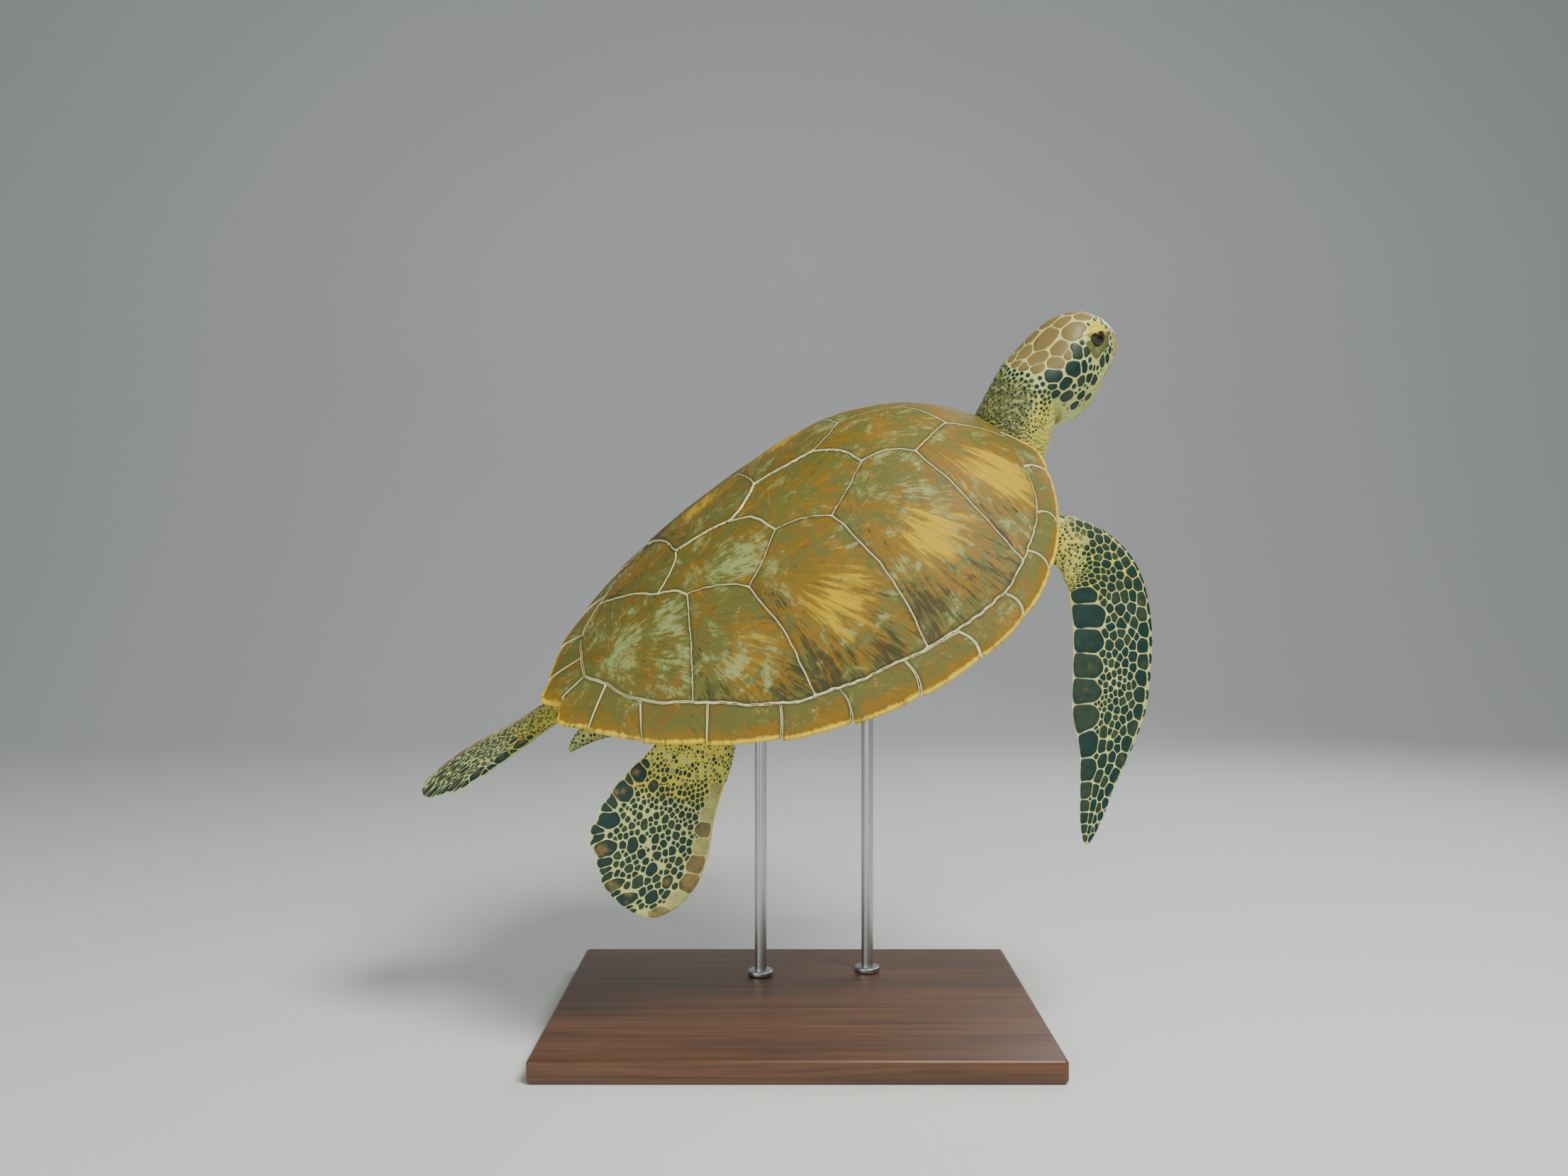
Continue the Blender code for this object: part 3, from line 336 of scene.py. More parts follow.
def wander(points, size, seed=0):
    """Smooth noise of about -1 to 1 whose waves are about size metres long."""
    turn = np.random.default_rng(seed)
    total = 0.0
    for _ in range(6):
        way = turn.normal(size=points.shape[-1])
        way *= turn.uniform(0.7, 1.5) * 2 * math.pi / size / np.linalg.norm(way)
        total = total + np.sin(points @ way + turn.uniform(0, 2 * math.pi))
    return total / 3.0


def half_width(knots, s, upto):
    outline = smooth_path(knots[1:upto + 1], np.linspace(0, upto - 1, 300))
    order = np.argsort(outline[:, 0])
    return np.interp(s, outline[order, 0], outline[order, 1])


def rim_height(s):
    return np.where(s < RIM_LOW, *RIM_SWEEP) * (s - RIM_LOW) ** 2


def dome(s, y):
    away = np.where(s < DOME_PEAK, (DOME_PEAK - s) / DOME_PEAK, (s - DOME_PEAK) / (1 - DOME_PEAK))
    along = np.clip(1 - np.abs(away) ** np.where(s < DOME_PEAK, DOME_FRONT, DOME_REAR), 0, 1)
    across = np.clip(np.abs(y) / half_width(RIM, s, 13), 0, 1)
    steep, round_off = DOME_SIDE
    return rim_height(s) + DOME_HEIGHT * along * (1 - across**steep) ** round_off


def belly(s, y):
    away = np.clip(np.abs(s - BELLY_MIDDLE) / BELLY_REACH, 0, 1)
    across = np.clip(np.abs(y) / half_width(INNER, s, 12), 0, 1)
    return rim_height(s) - RIM_UNDERSIDE - BELLY_DEPTH * (1 - away**BELLY_ENDS) * (1 - across**BELLY_SIDE)


def shell_point(s, y, surface=dome, lift=0.0):
    """Points of the animal's frame in metres, lift metres along the surface's outward normal."""
    step = 0.004
    z = surface(s, y)
    slope_x = -(surface(s + step, y) - surface(s - step, y)) / (2 * step)
    slope_y = (surface(s, y + step) - surface(s, y - step)) / (2 * step)
    normal = unit(np.stack([-slope_x, -slope_y, np.ones_like(z)], axis=-1))
    if surface is belly:
        normal = -normal
    return np.stack([0.5 - s, y, z], axis=-1) * SHELL + normal * np.asarray(lift)[..., None]


def posed(points):
    return points @ POSE.T + (0, 0, CENTRE_HEIGHT)


class Surface:
    """A surface of the body: place(t, w) gives points of the animal's frame, and flat(t, w) the
    points between which distances along the skin are measured."""

    def __init__(self, place, flat=None, out=1):
        self.place = place
        self.flat = flat or place
        self.out = out

    def normal(self, t, w):
        step = 2e-3
        along = self.place(t + step, w) - self.place(t - step, w)
        round_it = self.place(t, w + step) - self.place(t, w - step)
        return unit(np.cross(along, round_it) * self.out, 1e-12)


def flipper_surface(root, span, chord, twist, ribs, side, blunt, scallops=(), tuck=0.0):
    """w runs from -1 at the trailing edge over the lower face, the leading edge at 0 and the upper
    face to 1, and t counts the ribs from the root, whose hind corner is tucked into the flank."""
    root = np.array(root)
    span = np.array(span) / np.linalg.norm(span)
    chord = np.array(chord) - span * np.dot(chord, span)
    chord /= np.linalg.norm(chord)
    face = np.cross(chord, span)
    turn = math.radians(twist)
    chord, face = (chord * math.cos(turn) + face * math.sin(turn),
                   face * math.cos(turn) - chord * math.sin(turn))
    widen = 1 / math.cos(turn)
    ribs = np.array(ribs)
    last = len(ribs) - 1
    rise, taper = RIB_SECTION
    upward = 1 if face[2] > 0 else -1

    def rib(t, w):
        lead_u, lead_c, trail_u, trail_c, thick = np.moveaxis(smooth_path(ribs, t), -1, 0)
        across = (1 - np.cos(math.pi * np.abs(w))) / 2
        for middle, reach, depth in scallops:
            trail_c = trail_c + depth * MM / SHELL * np.exp(-((t - middle) / reach) ** 2)
        trail_u = trail_u - tuck * smooth_step(*AXIL_SPAN, t)
        close = 1 - np.clip((t - (last - blunt)) / blunt, 0, 1) ** 3
        close = np.sqrt(np.clip(close, 0, 1))
        lead_c = lead_c - LEAD_COATS * COAT / SHELL
        middle = (lead_c + trail_c) / 2
        lead_c = middle + (lead_c - middle) * close
        trail_c = middle + (trail_c - middle) * close
        u = lead_u + (trail_u - lead_u) * across
        c = (lead_c + (trail_c - lead_c) * across) * widen
        half = thick / 2 * rise * np.sin(math.pi * np.abs(w) / 2) * (1 - across) ** taper * close
        half = half * (1 - np.minimum(THIN_COATS * COAT / SHELL / thick, 0.5))
        half = half + FIN_EDGE / 2 / SHELL * across * np.sqrt(np.clip(1 - across, 0, 1)) * close
        return u, c, half * np.sign(w), lead_c * widen

    def place(t, w):
        t, w = np.broadcast_arrays(np.asarray(t, float), np.asarray(w, float))
        u, c, h, _ = rib(t, w)
        point = root + span * u[..., None] + chord * c[..., None] + face * (h * upward)[..., None]
        return point * (1, side, 1) * SHELL

    def flat(t, w):
        t, w = np.broadcast_arrays(np.asarray(t, float), np.asarray(w, float))
        u, c, height, lead = rib(t, w)
        return np.stack([u, c, FACES_APART * np.hypot(lead - c, height) * np.sign(w)], axis=-1) * SHELL

    probe = Surface(place, flat)
    outward = probe.normal(np.array([last / 2]), np.array([0.5]))[0] @ (face * upward * (1, side, 1))
    probe.out = 1 if outward > 0 else -1
    return probe


def neck_rings():
    """Each ring's reach in head lengths and (X, Z, half width, top, bottom, squareness, tilt)."""
    pitch = math.radians(HEAD_PITCH)
    reach, rings = [], []
    tilts = (0.18, 0.42, 0.72, 0.86)
    for at, (x, z, half, high), tilt in zip(NECK_REACH, NECK, tilts):
        reach.append(at)
        rings.append((x, z, half, high, high, 2.0, tilt))
    nape_x, nape_z = HEAD_NAPE
    for x, half, top, bottom, power in HEAD_STATIONS:
        middle = (top + bottom) / 2 if top < 0.12 else 0.0
        reach.append(x)
        rings.append((nape_x + HEAD * (x * math.cos(pitch) - middle * math.sin(pitch)),
                      nape_z + HEAD * (x * math.sin(pitch) + middle * math.cos(pitch)),
                      half * HEAD, (top - middle) * HEAD, (middle - bottom) * HEAD, power,
                      pitch if x else 0.45))
    x, z, radius = SNOUT
    reach.append(x)
    rings.append((nape_x + HEAD * (x * math.cos(pitch) - z * math.sin(pitch)),
                  nape_z + HEAD * (x * math.sin(pitch) + z * math.cos(pitch)),
                  radius * HEAD, radius * HEAD, radius * HEAD, 2.0, pitch))
    return np.array(reach), np.array(rings)


REACH, RINGS = neck_rings()


def head_frame():
    pitch = math.radians(HEAD_PITCH)
    ahead = np.array([math.cos(pitch), 0, math.sin(pitch)])
    up = np.array([-math.sin(pitch), 0, math.cos(pitch)])
    return np.array([HEAD_NAPE[0], 0, HEAD_NAPE[1]]) * SHELL, ahead, up


def eye_frame(side):
    """The eyeball's centre, the way it looks, and the ways along and across the lids' opening."""
    nape, ahead, up = head_frame()
    x, y, z = EYE
    unit = HEAD * SHELL
    centre = nape + (ahead * x + np.array([0, 1.0, 0]) * y * side + up * z) * unit
    look = ahead * EYE_LOOK[0] + np.array([0, 1.0, 0]) * side + up * EYE_LOOK[1]
    look /= np.linalg.norm(look)
    slant = ahead - up * LID_SLANT
    along = slant - look * np.dot(slant, look)
    along /= np.linalg.norm(along)
    return centre, look, along, -np.cross(look, along) * side


def lid_measure(points, side):
    """How far out of the lids' opening a point lies: 1 on its edge. Also its distance and direction
    from the eyeball's centre."""
    centre, look, along, across = eye_frame(side)
    away = points - centre
    distance = np.linalg.norm(away, axis=-1)
    way = away / (distance[..., None] + 1e-9)
    angle = np.degrees(np.arccos(np.clip(way @ look, -1, 1)))
    x, y = way @ along, way @ across
    measure = angle * np.hypot(x / LID_OPENING[0], y / LID_OPENING[1]) / (np.hypot(x, y) + 1e-9)
    beside = (angle < LID_ANGLE) & (distance < EYE_RADIUS + LID_REACH)
    return np.where(beside, measure, OFF_LIDS), distance, way, centre


def head_place(t, w):
    """t is the reach along neck and head, w the angle: 0 on the left, a quarter turn on top."""
    t, w = np.broadcast_arrays(np.asarray(t, float), np.asarray(w, float))
    ring = smooth_path(RINGS, np.interp(t, REACH, np.arange(len(REACH))))
    x, z, half, top, bottom, power, tilt = np.moveaxis(ring, -1, 0)
    cosine, sine = np.cos(w), np.sin(w)
    side = np.sign(cosine) * np.abs(cosine) ** (2 / power) * half * SHELL
    rise = np.sign(sine) * np.abs(sine) ** (2 / power) * np.where(sine > 0, top, bottom) * SHELL
    length = np.hypot(side, rise) + 1e-9
    scale = 1 + head_relief(t, w, rise) / length
    side, rise = side * scale, rise * scale
    point = np.stack([x * SHELL - rise * np.sin(tilt), side, z * SHELL + rise * np.cos(tilt)], axis=-1)
    for sign in (1, -1):
        point = open_lids(point, sign)
    return point


def mouth_height(t):
    return MOUTH_HEIGHT - MOUTH_CURVE * np.clip((0.95 - t) / 0.45, 0, 1) ** 1.5


def neck_points(t, w):
    return np.stack([t * HEAD * SHELL, np.cos(w) * NECK_RADIUS, np.sin(w) * NECK_RADIUS], axis=-1)


def fold_share(t, w):
    """How wrinkled the skin is: fully on the neck, not on the head."""
    points = neck_points(t, w)
    ragged = smooth_step(0.06, -0.10, t + 0.05 * wander(points, 0.05, 3))
    return ragged * (0.65 + 0.35 * wander(points, 0.06, 8))


def neck_folds(t, w):
    """The wrinkles round the neck: 0 in a furrow, 1 on a ridge."""
    points = neck_points(t, w)
    slant = 0.9 * np.sin(w)
    phase = (t * HEAD * SHELL / FOLD_SPACING + slant + 0.55 * wander(points, 0.04, 5)
             + 0.40 * wander(points, 0.015, 6))
    return np.abs(np.sin(math.pi * phase)) ** 0.6


def nostril(t, w):
    """1 in either nostril and 0 a little way off it."""
    along = (t - NOSTRIL[0]) * HEAD * SHELL
    round_it = (np.abs(w - math.pi / 2) - math.radians(NOSTRIL[1])) * NOSTRIL[2] * MM
    return np.exp(-(along**2 + round_it**2) / (NOSTRIL[3] * MM) ** 2)


def head_relief(t, w, rise):
    """How far the skin of head and neck stands off the plain form, in metres."""
    unit = HEAD * SHELL
    height = rise / unit
    on_head = smooth_step(0.45, 0.60, t)
    from_mouth = height - mouth_height(t)
    lower_half = np.sin(w) < 0.4
    beak = np.tanh(from_mouth / 0.010) * BEAK_STANDS - MOUTH_DEPTH * np.exp(-(from_mouth / 0.013) ** 2)
    relief = -COAT - HEAD_INSET * on_head + beak * on_head * lower_half * smooth_step(0.998, 0.96, t)
    relief = relief + (neck_folds(t, w) - 0.8) * FOLD_DEPTH * fold_share(t, w)
    return relief - NOSTRIL_DEPTH * nostril(t, w)


def open_lids(point, side):
    """Raise the lids over the eyeball and sink the skin inside their opening behind it."""
    measure, distance, way, centre = lid_measure(point, side)
    lid = EYE_RADIUS + LID_STANDS * np.clip(1 - ((measure - 1) / 1.3) ** 2, -1, 1)
    crease = sum(-deep * MM * np.exp(-((measure - at) / 0.05) ** 2) for at, deep in LID_CREASES)
    gone, whole = CREASE_FADE
    raised = np.maximum(distance, lid) + crease * smooth_step(EYE_RADIUS + gone, EYE_RADIUS + whole, distance)
    sunk = np.minimum(distance, EYE_RADIUS - EYE_SINK)
    share = smooth_step(0.86, 1.0, measure)
    wanted = sunk * (1 - share) + raised * share
    near = (measure < LID_END)[..., None]
    return np.where(near, centre + way * wanted[..., None], point)


def tail_place(t, w):
    t, w = np.broadcast_arrays(np.asarray(t, float), np.asarray(w, float))
    x, z, radius = np.moveaxis(smooth_path(TAIL, t), -1, 0)
    point = np.stack([x, radius * np.cos(w), z + radius * TAIL_FLATNESS * np.sin(w)], axis=-1) * SHELL
    rows = np.abs(np.sin(math.pi * x * SHELL / TAIL_ROW)) ** 0.7 - 0.8
    outward = np.stack([np.zeros_like(x), np.cos(w), np.sin(w)], axis=-1)
    return point + outward * (rows * TAIL_RIDGE)[..., None]


FRONT = (FRONT_ROOT, FRONT_SPAN, FRONT_CHORD, FRONT_TWIST, FRONT_RIBS)
FLIPPERS = {
    "front_flipper_right": flipper_surface(*FRONT, 1, 0.5, tuck=AXIL_TUCK),
    "front_flipper_left": flipper_surface(*FRONT, -1, 0.5, tuck=AXIL_TUCK),
    "rear_flipper_right": flipper_surface(*REAR_RIGHT, 0.0, REAR_RIBS, 1, 0.5, NOTCHES),
    "rear_flipper_left": flipper_surface(*REAR_LEFT, 0.0, REAR_RIBS, 1, 0.5, NOTCHES),
}
HEAD_SKIN = Surface(head_place)
TAIL_SKIN = Surface(tail_place)
for skin_part, at in ((HEAD_SKIN, (0.3, 1.5)), (TAIL_SKIN, (2.0, 1.5))):
    if skin_part.normal(np.array([at[0]]), np.array([at[1]]))[0][2] < 0:
        skin_part.out = -1


# Making meshes -----------------------------------------------------------------------------------

def select_only(*things):
    bpy.ops.object.select_all(action="DESELECT")
    for thing in things:
        thing.select_set(True)
    bpy.context.view_layer.objects.active = things[0] if things else None


def vertices_of(thing):
    places = np.empty(len(thing.data.vertices) * 3)
    thing.data.vertices.foreach_get("co", places)
    return places.reshape(-1, 3)


def laid_grid(name, columns, rows, place, extras=None):
    """A grid whose points place(u, v) lays out, with u and v from 0 to 1; extras gives attributes."""
    select_only()
    bpy.ops.mesh.primitive_grid_add(x_subdivisions=columns, y_subdivisions=rows, size=1)
    thing = bpy.context.object
    thing.name = thing.data.name = name
    flat = vertices_of(thing)
    u, v = flat[:, 0] + 0.5, flat[:, 1] + 0.5
    thing.data.vertices.foreach_set("co", place(u, v).astype(np.float32).ravel())
    for key, values in (extras(u, v) if extras else {}).items():
        set_attribute(thing, key, values)
    return thing


def set_attribute(thing, name, values):
    values = np.asarray(values, dtype=np.float32)
    kind, field = ("FLOAT_VECTOR", "vector") if values.ndim > 1 else ("FLOAT", "value")
    attribute = thing.data.attributes.get(name) or thing.data.attributes.new(name, kind, "POINT")
    attribute.data.foreach_set(field, values.ravel())


def in_edit_mode(thing, *steps):
    select_only(thing)
    bpy.ops.object.mode_set(mode="EDIT")
    for step in steps:
        bpy.ops.mesh.select_all(action="SELECT")
        step()
    bpy.ops.object.mode_set(mode="OBJECT")
    return thing


def close_up(thing):
    """Weld what meets, close the open ends and turn every face outwards."""
    return in_edit_mode(
        thing,
        lambda: bpy.ops.mesh.remove_doubles(threshold=2e-6),
        lambda: bpy.ops.mesh.fill_holes(sides=0),
        lambda: bpy.ops.mesh.normals_make_consistent(inside=False))


def apply_modifier(thing, kind, **settings):
    select_only(thing)
    modifier = thing.modifiers.new(kind.lower(), kind)
    for key, value in settings.items():
        setattr(modifier, key, value)
    bpy.ops.object.modifier_apply(modifier=modifier.name)
    return thing


def settle(thing, slot, material, *nodes, smooth=40):
    """Shade a finished piece, give it its material and fix it to the body."""
    select_only(thing)
    bpy.ops.object.shade_smooth_by_angle(angle=math.radians(smooth))
    thing.data.materials.clear()
    thing.data.materials.append(material)
    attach(thing, "root")
    if nodes:
        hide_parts(*nodes)
    return thing


# Shader nodes as arithmetic ------------------------------------------------------------------------

class Value:
    """A socket of a material's node tree that takes part in Python's arithmetic."""

    def __init__(self, paint, socket):
        self.paint = paint
        self.socket = socket

    def math(self, operation, first, second):
        return self.paint.add("ShaderNodeMath", {"operation": operation}, {0: first, 1: second})

    def __add__(self, other):
        return self.math("ADD", self, other)

    def __sub__(self, other):
        return self.math("SUBTRACT", self, other)

    def __rsub__(self, other):
        return self.math("SUBTRACT", other, self)

    def __mul__(self, other):
        return self.math("MULTIPLY", self, other)

    __radd__ = __add__
    __rmul__ = __mul__

    def between(self, low, high):
        """0 up to low and 1 from high, with a smooth rise; the other way round if high is lower."""
        inputs = {"Value": self, "From Min": low, "From Max": high}
        return self.paint.add("ShaderNodeMapRange", {"interpolation_type": "SMOOTHSTEP"}, inputs)


class Paint:
    """A material under construction."""

    def __init__(self, name, roughness, coat=0.0, coat_roughness=0.1, metallic=0.0, specular=0.5):
        self.material = bpy.data.materials.new(name)
        self.material.use_nodes = True
        self.tree = self.material.node_tree
        self.shader = self.tree.nodes["Principled BSDF"]
        given = {"Roughness": roughness, "Coat Weight": coat, "Coat Roughness": coat_roughness,
                 "Metallic": metallic, "Specular IOR Level": specular}
        for key, value in given.items():
            self.shader.inputs[key].default_value = value

    def add(self, kind, settings, inputs, output=0):
        node = self.tree.nodes.new(kind)
        for key, value in settings.items():
            setattr(node, key, value)
        for key, value in inputs.items():
            self.feed(node.inputs[key], value)
        return Value(self, node.outputs[output])

    def feed(self, socket, value):
        if isinstance(value, Value):
            self.tree.links.new(value.socket, socket)
        elif socket.type == "RGBA":
            socket.default_value = (*value, 1.0) if len(value) == 3 else value
        else:
            socket.default_value = value

    def mix(self, share, first, second, blend="MIX"):
        settings = {"data_type": "RGBA", "blend_type": blend}
        return self.add("ShaderNodeMix", settings, {0: share, 6: first, 7: second}, 2)

    def lay(self, ground, *layers):
        """Colours laid over one another; each layer is its share and its colour."""
        for share, colour in layers:
            ground = self.mix(share, ground, colour)
        return ground

    def place(self):
        """Positions in the animal's own frame, in metres."""
        where = self.add("ShaderNodeTexCoord", {}, {}, 3)
        settings = {"vector_type": "TEXTURE"}
        inputs = {"Vector": where, "Location": (0, 0, CENTRE_HEIGHT), "Rotation": tuple(TURN)}
        return self.add("ShaderNodeMapping", settings, inputs)

    def world(self, scale=(1, 1, 1)):
        """Positions in the scene, stretched by scale."""
        where = self.add("ShaderNodeTexCoord", {}, {}, 3)
        return self.add("ShaderNodeMapping", {"vector_type": "POINT"}, {"Vector": where, "Scale": scale})

    def attribute(self, name, output=2):
        """A mesh attribute: output 2 gives its number, output 1 its vector."""
        return self.add("ShaderNodeAttribute", {"attribute_name": name}, {}, output)

    def noise(self, where, scale, detail=3.0, roughness=0.55, distortion=0.0):
        inputs = {"Vector": where, "Scale": scale, "Detail": detail, "Roughness": roughness,
                  "Distortion": distortion}
        return self.add("ShaderNodeTexNoise", {}, inputs)

    def swing(self, *settings):
        """Noise as it swings about zero, mostly between -1 and 1."""
        return (self.noise(*settings) - 0.5) * 4.5

    def cells(self, where, scale):
        """The distance to the nearest edge of a pattern of cells."""
        settings = {"feature": "DISTANCE_TO_EDGE"}
        return self.add("ShaderNodeTexVoronoi", settings, {"Vector": where, "Scale": scale})

    def stretch(self, where, scale):
        return self.add("ShaderNodeVectorMath", {"operation": "MULTIPLY"}, {0: where, 1: scale})

    def shifted(self, where, by):
        return self.add("ShaderNodeVectorMath", {"operation": "ADD"}, {0: where, 1: by})

    def bump(self, height, distance, strength=1.0, below=None):
        inputs = {"Height": height, "Distance": distance, "Strength": strength}
        if below:
            inputs["Normal"] = below
        return self.add("ShaderNodeBump", {}, inputs)

    def finish(self, colour, roughness=None, normal=None):
        self.feed(self.shader.inputs["Base Color"], colour)
        if roughness is not None:
            self.feed(self.shader.inputs["Roughness"], roughness)
        if normal is not None:
            self.feed(self.shader.inputs["Normal"], normal)
        return self.material


def tone(red, green, blue):
    """A colour given as it looks on a screen, 0 to 255, as the linear values that shaders take."""
    parts = [c / 255 for c in (red, green, blue)]
    return tuple(c / 12.92 if c <= 0.04045 else ((c + 0.055) / 1.055) ** 2.4 for c in parts)


def colour_property(name, description, default):
    return FloatVectorProperty(name=name, description=description, subtype="COLOR", size=3, min=0, max=1,
                               default=default)


def length_property(name, description, default):
    return FloatProperty(name=name, description=description, unit="LENGTH", min=0.0, default=default,
                         precision=5)


class TurtleColours(bpy.types.PropertyGroup):
    """Colours of horn, skin and stand."""
    horn_gold: colour_property("Gold horn", "Orange-brown flames of the big plates", tone(192, 158, 4))
    horn_olive: colour_property("Olive horn", "Ground colour of the big plates", tone(96, 98, 42))
    horn_amber: colour_property("Amber horn", "Broad brown-orange clouds of the plates", tone(134, 100, 12))
    horn_umber: colour_property("Umber horn", "Second ground colour of the plates", tone(112, 90, 28))
    horn_brown: colour_property("Brown horn", "Dark streaks of the plates", tone(46, 44, 18))
    horn_green: colour_property("Grey-green horn", "Pale blotches of the plates", tone(146, 162, 100))
    seam: colour_property("Seams", "Pale new horn along the plates' edges", tone(236, 236, 178))
    lip: colour_property("Rim", "Outer edge of the shell", tone(222, 190, 36))
    belly_horn: colour_property("Belly", "Plates of the underside", tone(234, 218, 160))
    skin_pale: colour_property("Pale skin", "Skin between the scales", tone(208, 212, 128))
    skin_yellow: colour_property("Yellow skin", "Lids, armpits and the flippers' roots", tone(216, 200, 42))
    skin_olive: colour_property("Olive skin", "Top of the neck", tone(92, 98, 42))
    scale_dark: colour_property("Dark scales", "Scales of cheeks and flippers", tone(10, 48, 42))
    scale_tan: colour_property("Tan plates", "Plates on top of the head", tone(126, 108, 60))
    beak: colour_property("Beak", "Horn of the jaws", tone(176, 156, 84))
    eye: colour_property("Eye", "Iris", tone(40, 32, 14))
    wood: colour_property("Wood", "Base of the stand", tone(104, 66, 38))
    steel: colour_property("Steel", "Rods of the stand", tone(190, 192, 194))
    floor: colour_property("Floor", "Floor and backdrop", tone(226, 230, 228))


class TurtleSizes(bpy.types.PropertyGroup):
    """Sizes of the fine surface."""
    seam_gap: length_property("Seam", "Width of the groove between two plates", 0.5 * MM)
    seam_edge: length_property("Seam edge", "Width of the pale band along a plate's edge", 0.8 * MM)
    plate_round: length_property("Plate edge", "How far a plate's edge falls off", 1.0 * MM)
    scale_height: length_property("Scale height", "How far a scale stands off the skin", 0.55 * MM)


def colours():
    """The scene's colours as plain tuples."""
    given = bpy.context.scene.turtle_colours
    return SimpleNamespace(**{name: tuple(getattr(given, name)) for name in TurtleColours.__annotations__})


def sizes():
    return bpy.context.scene.turtle_sizes


# Materials -----------------------------------------------------------------------------------------

@cache
def horn_material():
    """Streaked horn: growth is a vector of way and reach from the plate's oldest point."""
    hue = colours()
    paint = Paint("streaked horn", roughness=0.6, specular=0.30)
    growth = paint.attribute("growth", 1)
    gold, brown, green, lip, edge, under = (
        paint.attribute(name) for name in ("gold", "brown", "green", "lip", "edge", "under"))
    where = paint.place()
    flames = paint.swing(paint.stretch(growth, (5, 5, 1.6)), 1.0, 4.0, 0.6, 0.6)
    streaks = paint.swing(paint.stretch(growth, (17, 17, 1.9)), 1.0, 4.0, 0.6, 0.25)
    second = paint.swing(paint.stretch(growth, (26, 26, 2.6)), 1.3, 4.0, 0.6, 0.25)
    hair = paint.swing(paint.stretch(growth, (75, 75, 6.0)), 1.0, 3.0, 0.6)
    blots = paint.swing(where, 38.0, 6.0, 0.65, 0.5)
    clouds = paint.swing(where, 27.0, 7.0, 0.68, 0.6)
    small = paint.swing(where, 120.0, 4.0, 0.65, 0.3)
    ground = (blots * 0.8 + small * 0.5 + streaks * 0.3).between(-0.35, 0.45)
    amber = (gold * 1.7 - 0.75 + blots * 0.75 + streaks * 0.45 + small * 0.3).between(-0.25, 0.55)
    cool = (green * 1.5 - 0.95 + clouds * 1.0 + second * 0.55 + small * 0.35).between(-0.05, 0.75)
    bright = (gold * 2.4 - 2.0 + flames * 0.55 + streaks * 0.85 + hair * 0.2).between(-0.2, 0.7)
    dark = (brown * 1.5 - 1.5 - streaks * 0.3 + second * 0.8 - clouds * 0.4 + hair * 0.35).between(-0.1, 0.6)
    warm = (lip * 3.0 - 1.9 + blots * 0.7 + streaks * 0.5).between(-0.3, 0.7)
    on_lip = (lip + blots * 0.05 + streaks * 0.05).between(0.92, 1.02)
    wobble = small * 0.10 + hair * 0.05
    shadow = (edge + wobble * 8.0).between(4.5, 1.2)
    width = sizes().seam_edge / MM
    seam = (edge + wobble).between(width + 0.3, width - 0.2)
    belly_horn = paint.mix(clouds.between(-0.3, 0.8) * 0.4, hue.belly_horn, hue.horn_green)
    colour = paint.lay(
        hue.horn_olive, (ground, hue.horn_umber), (amber * 0.8, hue.horn_amber),
        (cool * 0.85, hue.horn_green), (bright, hue.horn_gold), (dark * 0.8, hue.horn_brown),
        (hair.between(0.15, 0.8) * 0.30, hue.horn_brown), (warm * 0.8, hue.horn_amber),
        (on_lip, hue.lip), (shadow * 0.5, hue.horn_brown), (seam, hue.seam), (under, belly_horn))
    rings = paint.noise(paint.stretch(growth, (0.8, 0.8, 34.0)), 1.0, 2.0, 0.5)
    low = paint.bump(rings + hair * 0.15, 0.35 * MM, 0.7)
    normal = paint.bump(paint.noise(where, 420.0, 3.0), 0.12 * MM, 0.6, low)
    return paint.finish(colour, small * 0.05 + 0.62, normal)


@cache
def belly_material():
    hue = colours()
    paint = Paint("pale belly horn", roughness=0.45, coat=0.15, coat_roughness=0.25)
    where = paint.place()
    cloud = paint.noise(where, 18.0, 4.0, 0.6)
    fine = paint.noise(paint.stretch(where, (40, 160, 60)), 1.0, 3.0, 0.6)
    colour = paint.lay(hue.belly_horn, (cloud.between(0.45, 0.75) * 0.55, hue.skin_yellow),
                       (fine.between(0.58, 0.80) * 0.30, hue.horn_olive))
    normal = paint.bump(fine + cloud, 0.4 * MM, 0.6)
    return paint.finish(colour, fine * 0.2 + 0.36, normal)


